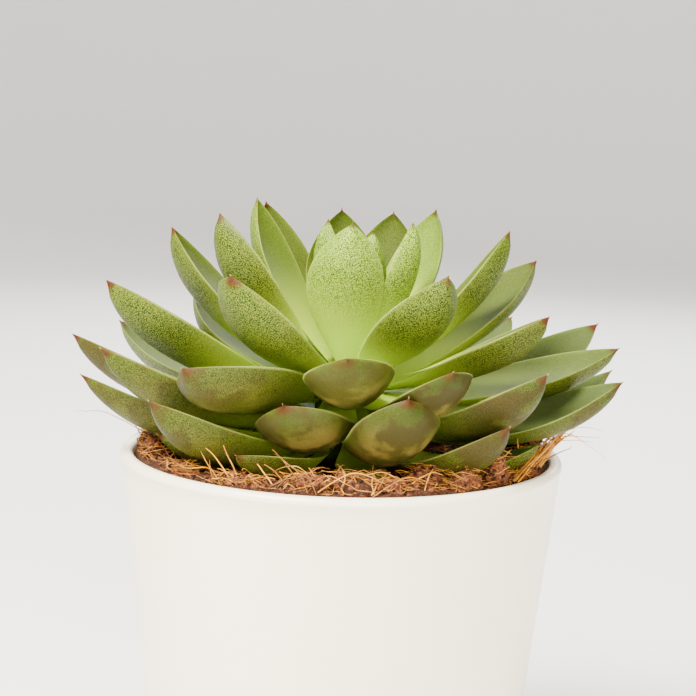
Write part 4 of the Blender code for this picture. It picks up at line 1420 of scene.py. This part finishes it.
@dataclass
class LooseCoir:
    """Fine fibres and crumbs strewn over the soil by geometry nodes."""

    soil: Soil
    straw: bpy.types.Material
    pith: bpy.types.Material
    wall_radius: float = 60.2
    first_ring: int = 16

    def strewing_ground(self) -> bpy.types.Mesh:
        """The ring of open soil that the loose coir lies on.

        Returns:
            Its mesh, in metres.
        """
        rings = self.soil.surface()[self.first_ring:-1] + np.array((0.0, 0.0, POT_HEIGHT))
        mesh = bpy.data.meshes.new("strewing_ground")
        mesh.from_pydata((rings.reshape(-1, 3) * MM).tolist(), [], grid_faces(*rings.shape[:2]))
        return mesh

    def fibre_recipe(self) -> GeometryRecipe:
        """The geometry tree for curled fibres that lie on a surface.

        Returns:
            The recipe, with its named inputs.
        """
        sizes = {"Density": 200000.0, "Shortest": 4.0 * MM, "Longest": 16.0 * MM, "Thickness": 0.34 * MM,
                 "Curl": 2.4 * MM, "Pitch": 0.3, "Lift": 0.3 * MM, "Wall": self.wall_radius * MM, "Seed": 3}
        recipe = GeometryRecipe("fibre_recipe", sizes)
        tree, given = recipe.tree, recipe.inputs
        points = recipe.strew({"shade": (0.85, 21), "wander": (0.85, 22)})
        ends = {"Start": (-0.5, 0, 0), "End": (0.5, 0, 0)}
        line = tree.node("GeometryNodeCurvePrimitiveLine", None, ends)[0]
        line = tree.node("GeometryNodeResampleCurve", None, {"Curve": line, "Count": 12})[0]
        pitch = given["Pitch"]
        down, up = tree.vector(-1.0 * pitch, -1.0 * pitch, 0.0), tree.vector(pitch, pitch, 2.0 * math.pi)
        turn = recipe.chance(down, up, 23, "FLOAT_VECTOR")
        fibres = recipe.place_on(points, line, turn, recipe.chance(given["Shortest"], given["Longest"], 24))
        place = tree.node("GeometryNodeInputPosition")[0]
        wander = tree.node("GeometryNodeInputNamedAttribute", {"data_type": "FLOAT"}, {"Name": "wander"})[0]
        inputs = {"Vector": place, "W": wander * 90.0, "Scale": 85.0, "Detail": 1.0}
        swirl = tree.node("ShaderNodeTexNoise", {"noise_dimensions": "4D"}, inputs)[1]
        fibres = recipe.shake(fibres, swirl, (0.5, 0.5, 0.42), given["Curl"] * 4.0)
        # Fibres that would reach into the pot's wall are moved inwards
        x, y, z = tree.node("ShaderNodeSeparateXYZ", None, {0: place})
        inside = (given["Wall"] / tree.vector_maths("LENGTH", tree.vector(x, y, 0.0))).least(1.0)
        kept = tree.vector(x * inside, y * inside, z + given["Lift"])
        fibres = tree.node("GeometryNodeSetPosition", None, {"Geometry": fibres, "Position": kept})[0]
        along = tree.node("GeometryNodeSplineParameter")[0]
        taper = 1.0 - 0.6 * abs(along * 2.0 - 1.0) ** 3.0
        ring = {"Resolution": 3, "Radius": given["Thickness"] * 0.5}
        section = tree.node("GeometryNodeCurvePrimitiveCircle", None, ring)[0]
        size = taper * (0.6 + 0.8 * wander)
        swept = {"Curve": fibres, "Profile Curve": section, "Scale": size, "Fill Caps": True}
        recipe.end(tree.node("GeometryNodeCurveToMesh", None, swept)[0], self.straw)
        return recipe

    def crumb_recipe(self) -> GeometryRecipe:
        """The geometry tree for crumbs of pith that lie on a surface.

        Returns:
            The recipe, with its named inputs.
        """
        sizes = {"Density": 255000.0, "Smallest": 0.25 * MM, "Largest": 1.0 * MM, "Roughness": 0.5 * MM,
                 "Seed": 5}
        recipe = GeometryRecipe("crumb_recipe", sizes)
        tree, given = recipe.tree, recipe.inputs
        points = recipe.strew({"shade": (1.0, 31)})
        ball = tree.node("GeometryNodeMeshIcoSphere", None, {"Radius": 1.0, "Subdivisions": 2})[0]
        turn = recipe.chance((0.0, 0.0, 0.0), (6.3, 6.3, 6.3), 32, "FLOAT_VECTOR")
        small, large = (tree.vector(*[given[label]] * 3) for label in ("Smallest", "Largest"))
        crumbs = recipe.place_on(points, ball, turn, recipe.chance(small, large, 33, "FLOAT_VECTOR"))
        place = tree.node("GeometryNodeInputPosition")[0]
        bumps = tree.node("ShaderNodeTexNoise", None, {"Vector": place, "Scale": 1300.0, "Detail": 1.0})[1]
        crumbs = recipe.shake(crumbs, bumps, (0.5, 0.5, 0.5), given["Roughness"] * 2.0)
        recipe.end(crumbs, self.pith)
        return recipe

    def build(self) -> None:
        """Strew fine fibres, coarse fibres and crumbs over the soil, and both over its lumps."""
        ground = self.strewing_ground()
        fibres, crumbs = self.fibre_recipe(), self.crumb_recipe()
        fine = {"Density": 90000.0, "Thickness": 0.24 * MM, "Longest": 12.0 * MM}
        coarse = {"Density": 24000.0, "Thickness": 0.44 * MM, "Longest": 20.0 * MM, "Curl": 2.0 * MM,
                  "Lift": 0.7 * MM, "Seed": 7}
        small = {"Density": 900000.0, "Largest": 0.7 * MM, "Seed": 11}
        stray = {"Density": 220000.0, "Thickness": 0.22 * MM, "Longest": 8.0 * MM, "Seed": 12}
        lumps = self.soil.lump_mesh(LUMPS, "lump_ground")
        knot = self.soil.lump_mesh((TUFT_KNOT,), "knot_ground")
        for name, recipe, base, sizes, slot in (
            ("fine_fibres", fibres, ground, fine, Slot.SOIL),
            ("coarse_fibres", fibres, ground, coarse, Slot.SOIL),
            ("coir_crumbs", crumbs, ground, {}, Slot.SOIL),
            ("lump_crumbs", crumbs, lumps, small, Slot.SOIL),
            ("lump_fibres", fibres, lumps, stray, Slot.SOIL),
            ("knot_crumbs", crumbs, knot, small, Slot.TUFT),
            ("knot_fibres", fibres, knot, stray, Slot.TUFT),
        ):
            finish_piece(recipe.make(name, base, sizes), slot)


# Studio


@dataclass
class Studio:
    """Plain pale floor, soft light, and the camera at the photograph's angle."""

    LIGHTS = (
        ("window", (-0.5, -0.45, 1.1), 0.6, 80.0, (1.0, 0.97, 0.91)),
        ("back_window", (0.2, 0.95, 0.9), 1.0, 30.0, (0.98, 0.99, 1.0)),
        ("front_fill", (0.4, -1.2, 0.5), 0.9, 31.0, (1.0, 0.93, 0.82)),
    )

    focal_pixels: float = 1740.0
    image_pixels: float = 696.0
    sensor: float = 36.0
    distance: float = 516.0
    elevation: float = 11.7
    roll: float = 1.85
    rim_pixel: tuple[float, float] = (341.4, 448.4)
    floor_radius: float = 1.5
    floor_sides: int = 128
    sweep: float = 0.9
    sweep_steps: int = 24
    sky_colour: tuple[float, float, float, float] = (1.0, 0.99, 0.97, 1.0)
    sky_strength: float = 0.42

    def camera_matrix(self) -> Matrix:
        """The camera's place and turn, worked out from where the rim's middle lies in the picture.

        Returns:
            The matrix, in metres.
        """
        up_angle = math.radians(self.elevation)
        place = Vector((0.0, -self.distance * math.cos(up_angle), self.distance * math.sin(up_angle)))
        forward = -place.normalized()
        right = Vector((1.0, 0.0, 0.0))
        up = right.cross(forward)
        turn = math.radians(self.roll)
        middle = self.image_pixels / 2
        shift_x, shift_y = self.rim_pixel[0] - middle, self.rim_pixel[1] - middle
        level_x = math.cos(turn) * shift_x + math.sin(turn) * shift_y
        level_y = math.cos(turn) * shift_y - math.sin(turn) * shift_x
        pan = math.atan2(level_x, self.focal_pixels)
        tilt = math.atan2(level_y, math.hypot(self.focal_pixels, level_x))
        start = Matrix((right, -up, forward))
        turns = (Matrix.Rotation(turn, 3, "Z"), Matrix.Rotation(pan, 3, "Y"), Matrix.Rotation(-tilt, 3, "X"))
        rows = turns[0] @ turns[1] @ turns[2] @ start
        axes = Matrix((rows[0], -rows[1], -rows[2])).transposed().to_4x4()
        axes.translation = (place + UPWARDS * POT_HEIGHT) * MM
        return axes

    def build_camera(self) -> None:
        """Set up the camera."""
        lens = bpy.data.cameras.new("camera")
        lens.sensor_width = self.sensor
        lens.lens = self.focal_pixels / self.image_pixels * self.sensor
        lens.clip_start = 0.01
        camera = bpy.data.objects.new("camera", lens)
        camera.matrix_world = self.camera_matrix()
        bpy.context.scene.collection.objects.link(camera)
        bpy.context.scene.camera = camera

    def build_floor(self) -> None:
        """Lay the floor, which sweeps up all round into a low pale wall."""
        around = circle(self.floor_sides)
        profile = [(self.floor_radius * share, 0.0) for share in (0.1, 0.4, 0.7)]
        for turn in np.linspace(0.0, math.pi / 2, self.sweep_steps):
            outwards, upwards = self.sweep * math.sin(turn), self.sweep * (1.0 - math.cos(turn))
            profile.append((self.floor_radius + outwards, upwards))
        points = np.concatenate([level_ring(around, *point) for point in profile])
        faces = [face[::-1] for face in grid_faces(len(profile), self.floor_sides)]
        mesh = bpy.data.meshes.new("floor")
        mesh.from_pydata(points.tolist(), [], [list(range(self.floor_sides)), *faces])
        mesh.shade_smooth()
        link_piece(mesh, BACKDROP.build())

    def add_light(self, name: str, place: tuple, size: float, power: float, colour: Colour) -> None:
        """Hang a square soft light that faces the plant and stays out of the picture itself.

        Args:
            name: The light's name.
            place: Where it hangs, in metres.
            size: The length of its side in metres.
            power: Its power in watts.
            colour: Its colour.
        """
        lamp = bpy.data.lights.new(name, "AREA")
        lamp.size = size
        lamp.energy = power
        lamp.color = colour
        item = bpy.data.objects.new(name, lamp)
        aim = UPWARDS * POT_HEIGHT * MM - Vector(place)
        item.matrix_world = Matrix.Translation(place) @ aim.to_track_quat("-Z", "Y").to_matrix().to_4x4()
        item.visible_camera = False
        bpy.context.scene.collection.objects.link(item)

    def build(self) -> None:
        """Set up the whole studio."""
        self.build_camera()
        self.build_floor()
        for light in self.LIGHTS:
            self.add_light(*light)
        world = bpy.data.worlds.new("studio_world")
        world.use_nodes = True
        backdrop = world.node_tree.nodes["Background"]
        backdrop.inputs["Color"].default_value = self.sky_colour
        backdrop.inputs["Strength"].default_value = self.sky_strength
        bpy.context.scene.world = world


def main() -> None:
    """Build the studio and every piece of the plant, in order."""
    logging.basicConfig(level=logging.INFO, format="%(message)s")
    Studio().build()
    pith, straw = PITH.build(), STRAW.build()
    Pot().build(PotGlaze().build())
    soil = Soil()
    soil.build(pith)
    soil.lay_fibres(FRONT_FIBRES + soil.loose_straws(32, 12), "standing_fibres", 4, straw, Slot.SOIL)
    LooseCoir(soil, straw, pith).build()
    knot = soil.lump_mesh((TUFT_KNOT,), "tuft_knot")
    paint(knot, "shade", 0.6)
    finish_piece(link_piece(knot, pith), Slot.TUFT, "tuft")
    soil.lay_fibres(TUFT_FIBRES + soil.tuft_bundle(20, 9), "tuft_fibres", 6, straw, Slot.TUFT)
    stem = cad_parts["stem"]
    stem.data.materials.clear()
    stem.data.materials.append(STEM_BARK.build())
    Rosette().build(LeafSkin().build())


if __name__ == "__main__":
    main()
